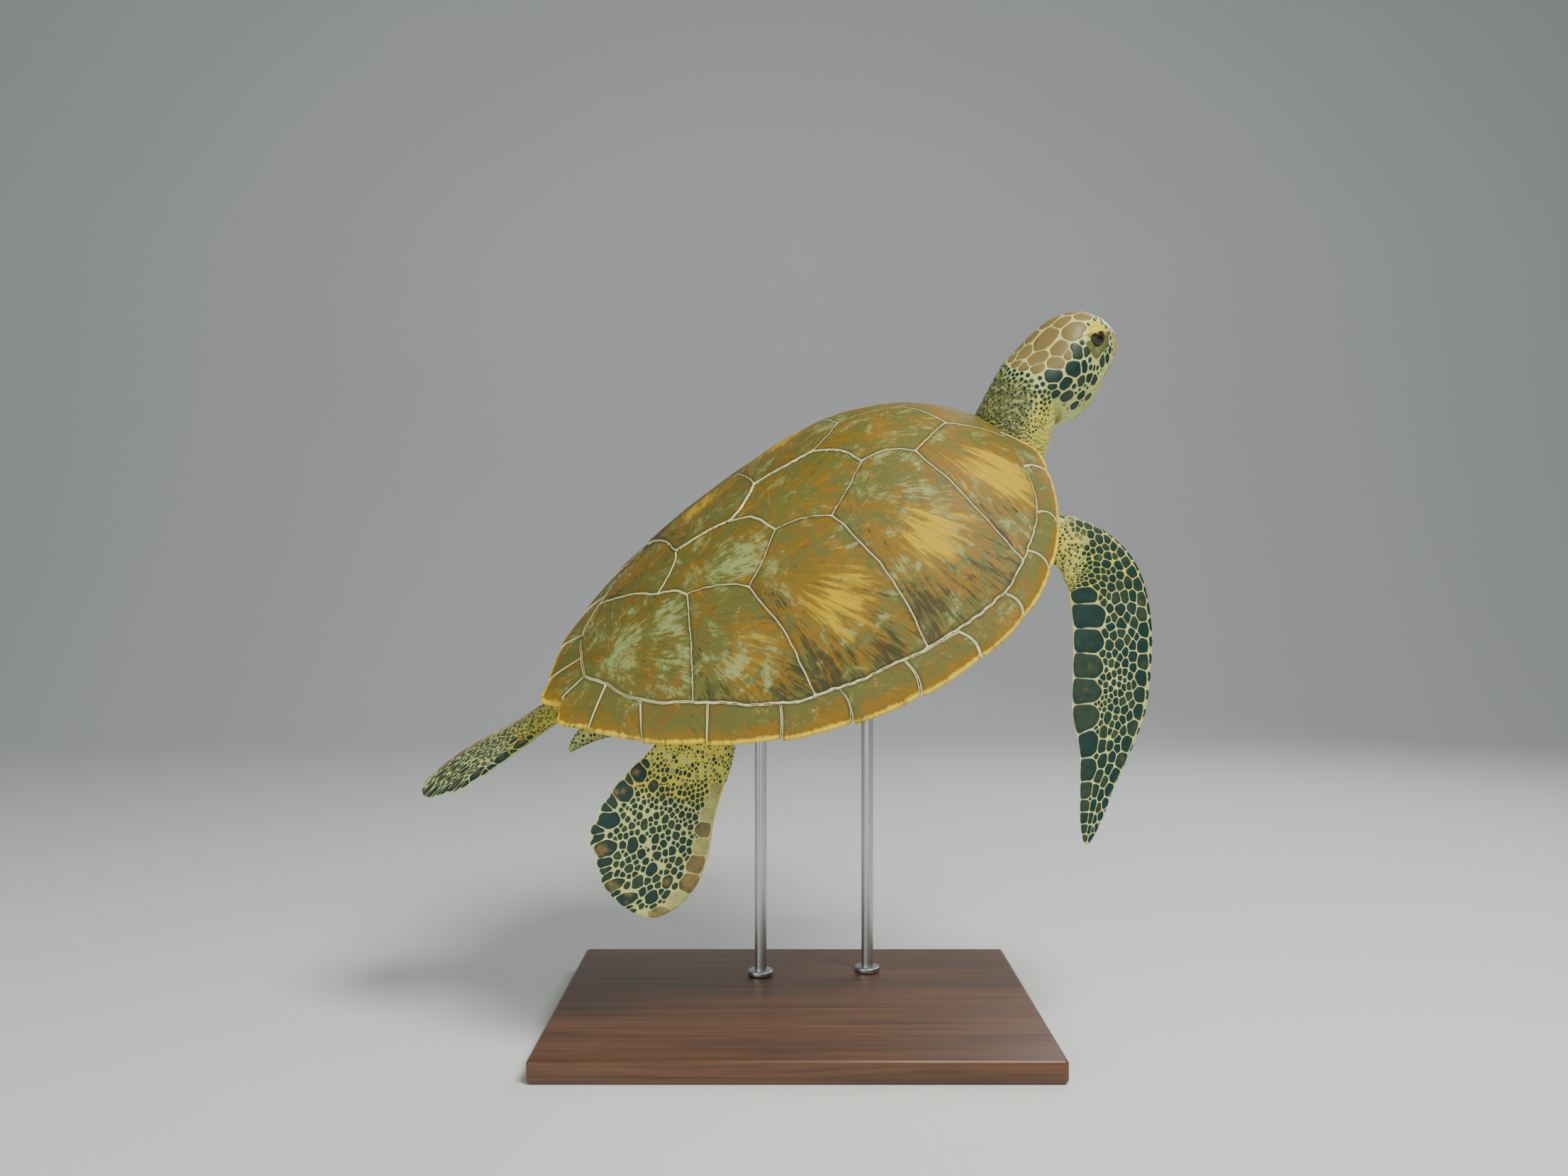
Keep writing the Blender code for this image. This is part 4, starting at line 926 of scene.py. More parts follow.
@cache
def skin_material():
    hue = colours()
    paint = Paint("skin", roughness=0.5, coat=0.15, coat_roughness=0.3)
    where = paint.place()
    yellow, olive, beak, mouth, wrinkled = (
        paint.attribute(name) for name in ("yellow", "olive", "beak", "mouth", "wrinkled"))
    cloud = paint.noise(where, 45.0, 4.0, 0.6)
    grain = paint.cells(where, 420.0)
    run = paint.stretch(paint.attribute("run", 1), (560, 0, 0))
    lines = paint.noise(paint.shifted(run, paint.stretch(where, (45, 45, 45))), 1.0, 3.0, 0.6)
    streaks = paint.noise(paint.stretch(where, (160, 60, 60)), 1.0, 3.0, 0.6)
    horn = paint.mix(streaks.between(0.5, 0.72) * 0.6, hue.beak, hue.horn_brown)
    colour = paint.lay(
        hue.skin_pale, ((yellow + (cloud - 0.5) * 0.5).between(0.25, 0.75), hue.skin_yellow),
        ((olive + (cloud - 0.5) * 0.6).between(0.3, 0.8), hue.skin_olive),
        (grain.between(0.12, 0.02) * 0.25, hue.skin_olive),
        # painted shade in the furrows of the neck's wrinkles
        (lines.between(0.50, 0.40) * wrinkled * 0.85, tone(*FURROW_SHADE)),
        (lines.between(0.54, 0.66) * wrinkled * 0.8, hue.skin_yellow),
        # painted shade in the mouth's groove and in the nostrils
        (beak, horn), (mouth * 0.85, tone(*MOUTH_AND_NOSTRIL_SHADE)))
    grainy = (1.0 - beak) * grain.between(0.0, 0.25)
    normal = paint.bump(grainy + cloud * 0.6 + lines * wrinkled * 2.5, 0.35 * MM, 0.8)
    return paint.finish(colour, cloud * 0.25 + 0.36, normal)


@cache
def scale_material():
    """Scales: kind runs from 0, dark, to 1, tan; pale makes them fade into the skin."""
    hue = colours()
    paint = Paint("scales", roughness=0.42, coat=0.10, coat_roughness=0.3, specular=0.35)
    where = paint.place()
    rim, shade, kind, pale = (paint.attribute(name) for name in ("rim", "shade", "kind", "pale"))
    cloud = paint.noise(where, 120.0, 4.0, 0.6)
    fine = paint.noise(where, 700.0, 3.0, 0.6)
    soft = paint.noise(where, 60.0, 3.0, 0.55)
    mottled = kind + (soft - 0.5) * (kind * (1.1 - kind) * 6.0 + 0.4)
    patch = (mottled + (shade - 0.5) * 0.3 - rim * 0.25).between(0.10, 0.62)
    colour = paint.mix(patch, hue.scale_dark, hue.scale_tan)
    olive = paint.mix(0.5, colour, hue.skin_olive)
    colour = paint.mix((cloud * 0.8 + shade * 0.5).between(0.55, 0.95) * 0.4, colour, olive)
    amber = ((1.0 - kind) * 0.5 + (cloud - 0.5) * 1.4 + (soft - 0.5)).between(0.30, 0.75) * patch
    colour = paint.mix(amber * 0.45, colour, hue.horn_amber)
    colour = paint.mix((pale + (shade - 0.5) * 0.5 + (cloud - 0.5) * 0.4).between(0.35, 0.85), colour,
                       hue.skin_pale)
    darker = paint.mix(1.0, colour, (0.62, 0.62, 0.62), "MULTIPLY")
    colour = paint.mix(rim.between(0.55, 0.9) * 0.4 * (1.0 - kind), colour, darker)
    colour = paint.mix((rim + (cloud - 0.5) * 0.1).between(0.93, 0.99), colour, hue.skin_pale)
    normal = paint.bump(fine + cloud, 0.25 * MM, 0.7)
    return paint.finish(colour, cloud * 0.2 + 0.42, normal)


@cache
def eye_material():
    hue = colours()
    paint = Paint("eye", roughness=0.2, coat=0.45, coat_roughness=0.03, specular=0.25)
    gaze = paint.attribute("gaze")
    where = paint.place()
    fleck = paint.noise(where, 900.0, 3.0, 0.6)
    iris = paint.mix(fleck.between(0.4, 0.7), hue.eye, tone(*IRIS_FLECKS))
    pupil = gaze.between(0.34, 0.30)
    return paint.finish(paint.lay(iris, (pupil, PUPIL), (gaze.between(0.60, 0.70), EYE_WHITE)))


@cache
def wood_material():
    hue = colours()
    paint = Paint("stained oak", roughness=0.4, coat=0.2, coat_roughness=0.3)
    where = paint.world((1.6, 16.0, 16.0))
    warp = paint.noise(where, 1.4, 3.0, 0.5)
    grain = paint.noise(paint.stretch(where, (1.0, 3.2, 3.2)), 2.2, 6.0, 0.65, 1.2)
    pores = paint.noise(paint.stretch(where, (3.0, 26.0, 26.0)), 2.0, 2.0, 0.5)
    dark = tuple(c * 0.42 for c in hue.wood)
    colour = paint.mix((grain * 0.8 + warp * 0.4).between(0.45, 0.78), hue.wood, dark)
    colour = paint.mix(pores.between(0.62, 0.70) * 0.6, colour, tuple(c * 0.25 for c in hue.wood))
    normal = paint.bump(pores + grain * 0.4, 0.15 * MM, 0.5)
    return paint.finish(colour, grain * 0.2 + 0.34, normal)


@cache
def steel_material():
    hue = colours()
    paint = Paint("brushed steel", roughness=0.28, metallic=1.0)
    where = paint.world((260.0, 260.0, 9.0))
    brushed = paint.noise(where, 1.0, 3.0, 0.6)
    colour = paint.mix(brushed * 0.25, hue.steel, tuple(c * 0.7 for c in hue.steel))
    return paint.finish(colour, brushed * 0.25 + 0.20, paint.bump(brushed, 0.02 * MM, 0.4))


@cache
def floor_material():
    paint = Paint("floor", roughness=0.75)
    speck = paint.noise(paint.world(), 3.0, 3.0, 0.5)
    hue = colours().floor
    return paint.finish(paint.mix(speck * 0.25, hue, tuple(c * 0.92 for c in hue)))


# The shell's plates --------------------------------------------------------------------------------

def waver(points):
    """The seams' own small waves: a shift by place, so that neighbours still meet."""
    points = np.asarray(points, dtype=float)
    broad = np.stack([wander(points, 0.11, 21), wander(points, 0.09, 22)], axis=-1)
    fine = np.stack([wander(points, 0.03, 23), wander(points, 0.028, 24)], axis=-1)
    return points + broad * BROAD_WAVE + fine * FINE_WAVE


def inner_line(start, end, side, count=60):
    return smooth_path(INNER, np.linspace(start, end, count)) * (1, side)


def straight(start, end, count=60):
    steps = np.linspace(0, 1, count)[:, None]
    return np.asarray(start) * (1 - steps) + np.asarray(end) * steps


def bowed(start, end, bow, toward):
    """A seam that bows by a share of its length towards the front, or towards the midline."""
    start, end = np.asarray(start, dtype=float), np.asarray(end, dtype=float)
    line = straight(start, end)
    along = end - start
    across = np.array([-along[1], along[0]])
    goal = np.array([-1.0, 0.0]) if toward == "front" else np.array([0.0, -np.sign(start[1] + end[1])])
    across = across * np.sign(across @ goal)
    u = np.linspace(0, 1, len(line))[:, None]
    return line + across * bow * 4 * u * (1 - u)


def back_seam(first, second):
    """A seam between two junctions along the back: the parts that run rearwards and inwards bow."""
    (i, a), (j, b) = first, second
    start, end = back_junction(i, a), back_junction(j, b)
    if a != b:
        return bowed(start, end, 0.07, "front")
    later = max(i, j)
    return bowed(start, end, 0.085 if later % 2 == 0 else -0.02, "midline")


def costal_seam(number, side):
    """The seam behind costal plate number 1 to 4, from the back down to the rim plates."""
    return bowed(back_junction(2 * number - 1 if number < 4 else 6, side), foot(number, side),
                 COSTAL_BOWS[number - 1], "front")


def back_junction(index, side):
    s, y = BACK[index]
    return (s + SEAM_SKEW * side, y * side)


def foot(index, side):
    s, y = smooth_path(INNER, COSTAL_FEET[index])
    return (s, y * side)


def vertebral_seams(number):
    """The seams round plate number 1 to 5 of the row down the back, in order."""
    right, left = -1, 1
    if number == 1:
        last = COSTAL_FEET[0]
        line = np.vstack([inner_line(last, 0, right), inner_line(0, last, left)[1:]])
        return [line, straight(foot(0, left), back_junction(0, left)), back_seam((0, left), (0, right)),
                straight(back_junction(0, right), foot(0, right))]
    first = 2 * (number - 2)
    if number == 5:
        last = COSTAL_FEET[-1]
        end = len(INNER) - 1
        line = np.vstack([inner_line(last, end, left), inner_line(end, last, right)[1:]])
        return [back_seam((first, right), (first, left)), costal_seam(4, left), line,
                costal_seam(4, right)[::-1]]
    ring = [(first, right), (first, left), (first + 1, left), (first + 2, left), (first + 2, right),
            (first + 1, right)]
    return [back_seam(ring[i], ring[(i + 1) % 6]) for i in range(6)]


def costal_seams(number, side):
    start, end = COSTAL_FEET[number - 1], COSTAL_FEET[number]
    if number == 1:
        seams = [straight(foot(0, side), back_junction(0, side)), back_seam((0, side), (1, side))]
    else:
        last = 2 * number - 1
        seams = [costal_seam(number - 1, side)[::-1], back_seam((last - 2, side), (last - 1, side))]
        if number < 4:
            seams.append(back_seam((last - 1, side), (last, side)))
    return [*seams, costal_seam(number, side), inner_line(end, start, side)]


def walk_round(seams, count):
    """count points round a closed outline, with one on every corner."""
    lengths = [np.linalg.norm(np.diff(seam, axis=0), axis=1).sum() for seam in seams]
    ends = np.rint(np.cumsum(lengths) / sum(lengths) * count).astype(int)
    points = []
    for seam, start, end in zip(seams, [0, *ends], ends):
        along = np.concatenate([[0], np.cumsum(np.linalg.norm(np.diff(seam, axis=0), axis=1))])
        at = np.linspace(0, along[-1], end - start, endpoint=False)
        points.append(np.stack([np.interp(at, along, seam[:, k]) for k in (0, 1)], axis=1))
    return np.vstack(points)


def shrink(outline, by):
    """A closed outline moved inwards by the same width all round."""
    ahead = unit(np.roll(outline, -1, axis=0) - outline)
    behind = unit(outline - np.roll(outline, 1, axis=0))
    along = unit(ahead + behind)
    turn = np.clip(np.sum(along * ahead, axis=1, keepdims=True), 0.5, 1)
    area = np.sum(outline[:, 0] * np.roll(outline[:, 1], -1) - np.roll(outline[:, 0], -1) * outline[:, 1])
    return outline + np.stack([-along[:, 1], along[:, 0]], axis=1) * np.sign(area) * by / turn


def edge_drop(edge, reach, depth):
    """How far a rounded edge has fallen at a distance from it."""
    near = np.clip(1 - edge / reach, 0, 1)
    return depth * (1 - np.sqrt(np.clip(1 - near * near, 0, 1)))


def nearest(points, targets):
    """The distance from each point to the nearest of the targets."""
    tree = KDTree(len(targets))
    for index, target in enumerate(targets):
        tree.insert(target, index)
    tree.balance()
    return np.array([tree.find(point)[2] for point in points])


def plate(name, seams, divisions, traits, surface=dome, lift=0.0, thickness=0.8 * PLATE):
    """A plate as a grid wrapped into its outline, thickened, with its edges rounded down."""
    outline = shrink(waver(walk_round(seams, 4 * divisions)), sizes().seam_gap / 2 / SHELL)
    middle = outline.mean(axis=0)
    loop = np.vstack([outline, outline[:1]])
    rim = posed(shell_point(*walk_round([loop], 16 * divisions).T, surface, lift))

    def flat(u, v):
        x, y = 2 * u - 1, 2 * v - 1
        reach = np.maximum(np.abs(x), np.abs(y))
        safe = np.where(reach > 0, reach, 1)
        nearly = reach - 1e-6
        side = np.where(-y >= nearly, 0, np.where(x >= nearly, 1, np.where(y >= nearly, 2, 3)))
        part = np.choose(side, (x, y, -x, -y)) / safe / 2 + 0.5
        at = (side + part) * divisions % (4 * divisions)
        edge = np.stack([np.interp(at, np.arange(len(loop)), loop[:, k]) for k in (0, 1)], axis=1)
        return middle + (edge - middle) * (1 - (1 - reach) ** 1.8)[:, None]

    def from_rim(at):
        return nearest(posed(shell_point(*at.T, surface, lift)), rim)

    def place(u, v):
        at = flat(u, v)
        edge = from_rim(at)
        low = edge_drop(edge, EDGE_REACH, sizes().plate_round)
        swell = SWELL * wander(at, 0.10, 31) * smooth_step(0, 8 * MM, edge)
        return posed(shell_point(*at.T, surface, lift - low + swell))

    def extras(u, v):
        at = flat(u, v)
        return {"edge": from_rim(at) / MM, **traits(at)}

    thing = laid_grid(name, divisions, divisions, place, extras)
    outward = thing.data.polygons[0].normal @ Vector(POSE[:, 2])
    if (outward > 0) != (surface is dome):
        in_edit_mode(thing, lambda: bpy.ops.mesh.flip_normals())
    return apply_modifier(thing, "SOLIDIFY", thickness=thickness, offset=-1.0)


def horn_traits(origin, gold, brown, green, pull=1.0):
    """The plate's markings, which fan out from origin, its oldest point. Each share of gold, brown
    and green is a number or a function of the place."""
    origin = np.asarray(origin, dtype=float)

    def traits(at):
        away = (at - origin) * (1, pull)
        reach = np.linalg.norm(away, axis=1)
        way = away / (reach[:, None] + 0.012)
        growth = np.stack([way[:, 0], way[:, 1], reach * 6 + origin.sum() * 3], axis=1)
        zero = np.zeros(len(at))
        given = {"growth": growth, "lip": zero, "under": zero}
        for key, share in (("gold", gold), ("brown", brown), ("green", green)):
            given[key] = zero + (share(at) if callable(share) else share)
        return given
    return traits


def blotch(at, where, size):
    return np.exp(-np.sum(((at - where) / size) ** 2, axis=1))


def make_back():
    horn = horn_material()
    for number in range(1, 6):
        seams = vertebral_seams(number)
        middle = np.vstack(seams).mean(axis=0)
        gold, brown, green = VERTEBRAL_TONES[number - 1]
        traits = horn_traits(middle + (0.075, 0.0), gold, brown, green, 0.8)
        thing = plate(f"vertebral_{number}_horn", seams, 52, traits)
        settle(thing, "shell", horn, f"vertebral_{number}")
    for side, word in SIDES:
        for number in range(1, 5):
            seams = costal_seams(number, side)
            middle = np.vstack(seams).mean(axis=0)
            gold, brown, green = COSTAL_TONES[number - 1]
            bright = middle + (-0.015, 0.045 * side)

            def gold_at(at, gold=gold, bright=bright):
                return gold * 0.8 + 0.80 * blotch(at, bright, GOLD_SPOT) * min(gold * 2.2, 1)

            def brown_at(at, brown=brown, middle=middle, side=side):
                rear = smooth_step(0.02, 0.085, at[:, 0] - middle[0])
                low = smooth_step(0.05, 0.12, (at[:, 1] - middle[1]) * side)
                return brown + 0.35 * rear + 0.45 * low

            traits = horn_traits(middle + (0.060, -0.095 * side), gold_at, brown_at, green)
            thing = plate(f"costal_{word}_{number}_horn", seams, 60, traits)
            settle(thing, "shell", horn, f"costal_{word}_{number}")


def rim_line(t, number):
    """The smooth rim and the rim with its serration, at t, both on the left."""
    u = np.where(t <= MARGINALS, t, MARGINALS + 2 * (t - MARGINALS))
    smooth = smooth_path(RIM, u)
    ahead = smooth_path(RIM, np.minimum(u + 0.05, len(RIM) - 1.01)) - smooth_path(RIM, u - 0.05)
    length = np.linalg.norm(ahead, axis=1, keepdims=True)
    out = np.stack([-ahead[:, 1], ahead[:, 0]], axis=1) / (length + 1e-9)
    growth = SERRATION * min((number - 4) / 4, 1.0) if 5 <= number < MARGINALS else 0.0
    share = np.clip(t - number, 0, 1)
    jut = (share ** 1.5 - SERRATION_DIP)[:, None]
    dip = (RIM_SCALLOP * (2 * share - 1) ** 4 * (number > 0))[:, None]
    return smooth, smooth + out * (growth * jut - dip)


def outward_share(v):
    """How far out a point of a rim plate's section lies: 0 on the inner line, 1 on the rim."""
    above = np.clip(v / RIM_TOP, 0, 1)
    return np.where(v < RIM_TOP + RIM_BEND / 2, above, 1 - np.clip((v - RIM_UNDER) / RIM_BELOW, 0, 1))


def marginal(name, start, end, number, side, traits):
    """A plate of the rim: a wedge whose section runs from the inner line over the rim and back."""
    columns, rows = 30, 52
    gap = sizes().seam_gap / 2
    lip = RIM_EDGE * SHELL / 2

    def section(u, v):
        t = start + (end - start) * u
        bow = RIM_SEAM_BOW * np.sin(math.pi * outward_share(v)) * smooth_step(11, 5, np.abs(t))
        t = t * (1 - bow) if number == 0 else t - bow
        mirror = np.stack([np.ones_like(t), np.where(t < 0, -side, side)], axis=1)
        inner = waver(smooth_path(INNER, np.abs(t)) * mirror)
        smooth, rim = (line * mirror for line in rim_line(np.abs(t), number))
        reach = rim - inner
        length = np.linalg.norm(reach, axis=1, keepdims=True) * SHELL
        return inner + reach * gap / length, smooth, rim

    def parts(v):
        top = np.clip(v / RIM_TOP, 0, 1)
        bend = np.clip((v - RIM_TOP) / RIM_BEND, 0, 1)
        below = np.clip((v - RIM_UNDER) / RIM_BELOW, 0, 1)
        wall = np.clip((v - RIM_INNER) / RIM_WALL, 0, 1)
        return top, bend, below, wall

    def sharp(u, v):
        inner, smooth, rim = section(u, v)
        top, bend, below, wall = parts(v)
        over = v <= RIM_TOP
        f = np.where(over, top, 1 - below)[:, None]
        drawn = inner + (rim - inner) * f
        even = inner + (smooth - inner) * f
        high = dome(even[:, 0], even[:, 1])
        edge = rim_height(rim[:, 0])
        foot_z = rim_height(inner[:, 0]) - RIM_UNDERSIDE
        start_z = dome(inner[:, 0], inner[:, 1])
        sag = 0.004 * np.sin(math.pi * below)
        z = np.where(over, high, edge - RIM_EDGE + (foot_z - edge + RIM_EDGE) * below + sag)
        z = np.where(wall > 0, foot_z + (start_z - foot_z) * wall, z)
        point = np.stack([0.5 - drawn[:, 0], drawn[:, 1], z], axis=1) * SHELL
        reach = rim - inner
        out = np.stack([-reach[:, 0], reach[:, 1]], axis=1) / np.linalg.norm(reach, axis=1, keepdims=True)
        angle = math.pi / 2 - math.pi * bend
        on_lip = (v > RIM_TOP) & (v < RIM_UNDER)
        shift = np.where(on_lip, np.cos(angle) * lip - lip, -lip * f[:, 0] ** 8)
        point[:, 2] = np.where(on_lip, edge * SHELL - lip + lip * np.sin(angle), point[:, 2])
        point[:, :2] += out * shift[:, None]
        return point

    ends = np.linspace(0, 1, 200)
    lines = [np.stack([np.full(200, e), ends], axis=1) for e in (0.0, 1.0)]
    lines.append(np.stack([ends, np.zeros(200)], axis=1))
    border = np.vstack([sharp(line[:, 0], line[:, 1]) for line in lines])

    def clustered(u):
        return 0.5 + 0.5 * np.sign(u - 0.5) * (1 - (1 - np.abs(2 * u - 1)) ** 1.7)

    def spot(u, v):
        return sharp(np.array([u]), np.array([v]))[0]

    def place(u, v):
        u = clustered(u)
        point = sharp(u, v)
        ahead = sharp(np.clip(u + 1e-3, 0, 1), v) - sharp(np.clip(u - 1e-3, 0, 1), v)
        along = unit(ahead, 1e-12)
        round_it = sharp(u, (v + 2e-3) % 1.0) - sharp(u, (v - 2e-3) % 1.0)
        normal = unit(np.cross(along, round_it), 1e-12)
        on_top = np.cross(spot(0.51, 0.3) - spot(0.49, 0.3), spot(0.5, 0.31) - spot(0.5, 0.29))
        if on_top[2] < 0:
            normal = -normal
        edge = nearest(point, border)
        low = edge_drop(edge, EDGE_REACH, sizes().plate_round) * (v < RIM_INNER)
        inset = along * (gap * np.clip(1 - 2 * u, -1, 1) * (np.abs(2 * u - 1) > 0.9))[:, None]
        return posed(point - normal * low[:, None] + inset)

    def extras(u, v):
        u = clustered(u)
        inner, _, rim = section(u, v)
        top, _, below, _ = parts(v)
        over = v <= RIM_TOP
        given = traits(inner + (rim - inner) * np.where(over, top, 1 - below)[:, None])
        given["lip"] = np.where(over, top, 1.0 - below * 0.5)
        given["under"] = smooth_step(0.05, 0.35, below)
        given["edge"] = nearest(sharp(u, v), border) / MM
        return given

    return close_up(laid_grid(name, columns, rows, place, extras))


def make_rim():
    horn = horn_material()
    traits = horn_traits(smooth_path(INNER, 0.0) + (-0.01, 0), *NUCHAL_TONES)
    settle(marginal("nuchal_horn", -1, 1, 0, 1, traits), "shell", horn, "nuchal")
    for side, word in SIDES:
        for number in range(1, MARGINALS + 1):
            origin = smooth_path(INNER, number + 0.75) * (1, side)
            gold = 0.36 if number < 8 else 0.26
            traits = horn_traits(origin, gold, MARGINAL_BROWN, MARGINAL_GREEN)
            name = f"marginal_{word}_{number}"
            settle(marginal(f"{name}_horn", number, number + 1, number, side, traits), "shell", horn, name)


def make_belly():
    horn = belly_material()
    lift = PLATE + 0.3 * MM

    def traits(at):
        return {}

    parts = []
    for side in (1, -1):
        for (outer, mid), (next_outer, next_mid) in zip(PLASTRON_SEAMS, PLASTRON_SEAMS[1:]):
            line = smooth_path(PLASTRON, np.linspace(outer, next_outer, 60)) * (1, side)
            corners = [line[-1], (next_mid, 0), (mid, 0), line[0]]
            first, last = int(next_outer >= 8), 3 - int(outer <= 0)      # the ends are points, not seams
            seams = [line, *(straight(*corners[i:i + 2]) for i in range(first, last))]
            parts.append(plate("scute", seams, 24, traits, belly, lift))
    settle(joined("plastron_horn", parts), "plastron", horn, "plastron")
    front, rear = BRIDGE_SPAN
    for side, word in SIDES:
        parts = []
        for start, end in zip(np.linspace(front, rear, 5), np.linspace(front, rear, 5)[1:]):
            spread = np.linspace(start, end, 40)
            near = np.stack([spread, half_width(PLASTRON, spread, 7) + BRIDGE_SEAM], axis=1) * (1, side)
            far = np.stack([spread, half_width(INNER, spread, 12) - BRIDGE_FOOT], axis=1) * (1, side)
            seams = [near, straight(near[-1], far[-1]), far[::-1], straight(far[0], near[0])]
            parts.append(plate("scute", seams, 18, traits, belly, lift))
        settle(joined(f"bridge_{word}_horn", parts), "plastron", horn, f"bridge_{word}")


def joined(name, parts):
    select_only(*parts)
    bpy.ops.object.join()
    thing = bpy.context.object
    thing.name = thing.data.name = name
    return thing


# The skin ------------------------------------------------------------------------------------------

def wrapped(name, surface, t_range, w_range, columns, rows, traits):
    """A part of the skin as a grid over its surface, closed where it wraps round."""
    def spread(u, v):
        return t_range[0] + (t_range[1] - t_range[0]) * u, w_range[0] + (w_range[1] - w_range[0]) * v

    def place(u, v):
        return posed(surface.place(*spread(u, v)))

    def extras(u, v):
        t, w = spread(u, v)
        return traits(t, w, surface.place(t, w))

    return close_up(laid_grid(name, columns, rows, place, extras))


def head_traits(t, w, point):
    unit = HEAD * SHELL
    nape, ahead, up = head_frame()
    local = (point - nape) @ np.stack([ahead, up], axis=1) / unit
    height = local[:, 1]
    from_mouth = height - mouth_height(t)
    front = t + 0.02 * wander(point, 0.02, 41) - 0.10 * np.clip(height - 0.02, 0, 1)
    beak_front = smooth_step(0.845, 0.865, front)
    jaw = smooth_step(0.66, 0.68, t) * smooth_step(-0.006, -0.012, from_mouth)
    lids = np.zeros(len(t))
    socket = np.zeros(len(t))
    for side in (1, -1):
        _, distance, way, _ = lid_measure(point, side)
        from_eye = distance - EYE_RADIUS
        _, _, along, across = eye_frame(side)
        brow = smooth_step(0.0, 0.30, way @ across)
        reach = (11 + 9 * smooth_step(0.1, -0.5, way @ along)) * MM
        lids = np.maximum(lids, smooth_step(8.5 * MM, 5.5 * MM, from_eye) * brow)
        socket = np.maximum(socket, smooth_step(reach, reach - 5 * MM, from_eye) * (1 - brow))
    above = smooth_step(-0.1, 0.75, np.sin(w))
    neck = smooth_step(0.10, -0.08, t)
    # painted shade: the skin turns olive in the furrows of the neck's folds
    furrow = 0.7 * (1 - neck_folds(t, w)) * fold_share(t, w)
    # painted shade along the mouth's groove; the nostrils' pits are added to it below
    mouth = np.exp(-(from_mouth / 0.011) ** 2) * smooth_step(0.50, 0.56, t) * (np.sin(w) < 0.4)
    yellow = lids + (0.30 + 0.35 * smooth_step(0.9, 0.1, np.sin(w))) * neck
    olive = neck * above * 0.55 + 0.9 * socket + 0.9 * furrow
    wrinkled = smooth_step(-0.10, -0.32, t + 0.06 * wander(neck_points(t, w), 0.03, 9))
    run = t * unit + (0.9 * np.sin(w) + 0.5 * wander(neck_points(t, w), 0.03, 5)) * FOLD_SPACING
    return {"mouth": np.clip(mouth + nostril(t, w), 0, 1), "yellow": np.clip(yellow, 0, 1),
            "olive": np.clip(olive, 0, 1), "beak": np.clip(beak_front + jaw, 0, 1),
            "wrinkled": wrinkled, "run": run}


def marks(zero, yellow, olive):
    """The attributes of skin without horn; zero has a 0 for every point."""
    return {"yellow": zero + yellow, "olive": zero + olive, "beak": zero, "mouth": zero}


def flipper_traits(root_share):
    return lambda t, w, point: marks(0 * t, smooth_step(*root_share, t), 0)


def plain_traits(yellow, olive):
    return lambda t, w, point: marks(0 * t, yellow, olive)


def trunk_place(s, w):
    """w runs from -1 over the back to 0 and on under the belly to 1."""
    reach = half_width(INNER, s, 12) - TRUNK_INSET - TRUNK_COAT
    over = w < 0
    across = np.where(over, np.sin((w + 0.5) * math.pi), np.sin((0.5 - w) * math.pi)) * reach
    top = shell_point(s, across, dome, -UNDER_PLATE - TRUNK_COAT)
    low = shell_point(s, across, belly, -UNDER_BELLY - TRUNK_COAT)
    edge_share = smooth_step(0.86, 1.0, np.abs(across) / reach)
    side_top = shell_point(s, np.sign(across) * reach, dome, -UNDER_PLATE)
    side_low = shell_point(s, np.sign(across) * reach, belly, -UNDER_BELLY)
    middle = side_top[:, 2] * FLANK + side_low[:, 2] * (1 - FLANK)
    low[:, 2] = low[:, 2] * (1 - edge_share) + middle * edge_share
    return np.where(over[:, None], top, low)


TRUNK_SKIN = Surface(trunk_place)


def make_skin():
    parts = [
        wrapped("skin", TRUNK_SKIN, TRUNK_SPAN, (-1, 1), 110, 150, plain_traits(0.32, 0.15)),
        wrapped("neck", HEAD_SKIN, (REACH[0], REACH[-1]), (0, 2 * math.pi), 230, 210, head_traits),
        wrapped("tail", TAIL_SKIN, (0, len(TAIL) - 1.02), (0, 2 * math.pi), 60, 40, plain_traits(0.4, 0.5)),
    ]
    for name, surface in FLIPPERS.items():
        last = len(FRONT_RIBS if "front" in name else REAR_RIBS) - 1
        traits = flipper_traits((7.0, 3.6) if "front" in name else (4.5, 2.6))
        size = (130, 70) if "front" in name else (100, 60)
        parts.append(wrapped(name, surface, (0, last - 0.002), (-1, 1), *size, traits))
    skin = parts[0]
    for number, part in enumerate(parts):
        set_attribute(part, "part", np.full(len(part.data.vertices), float(number)))
    for part in parts[1:]:
        apply_modifier(skin, "BOOLEAN", operation="UNION", solver="MANIFOLD", object=part)
        bpy.data.objects.remove(part, do_unlink=True)
    skin.name = skin.data.name = "skin"
    soften_joints(skin)
    for side, word in SIDES:
        skin = joined("skin", [skin, lid_rim(f"lid_{word}", side)])
    nodes = ("trunk", "neck", "head", "lower_jaw", "tail", *FLIPPERS)
    return settle(skin, "skin", skin_material(), *nodes, smooth=60)


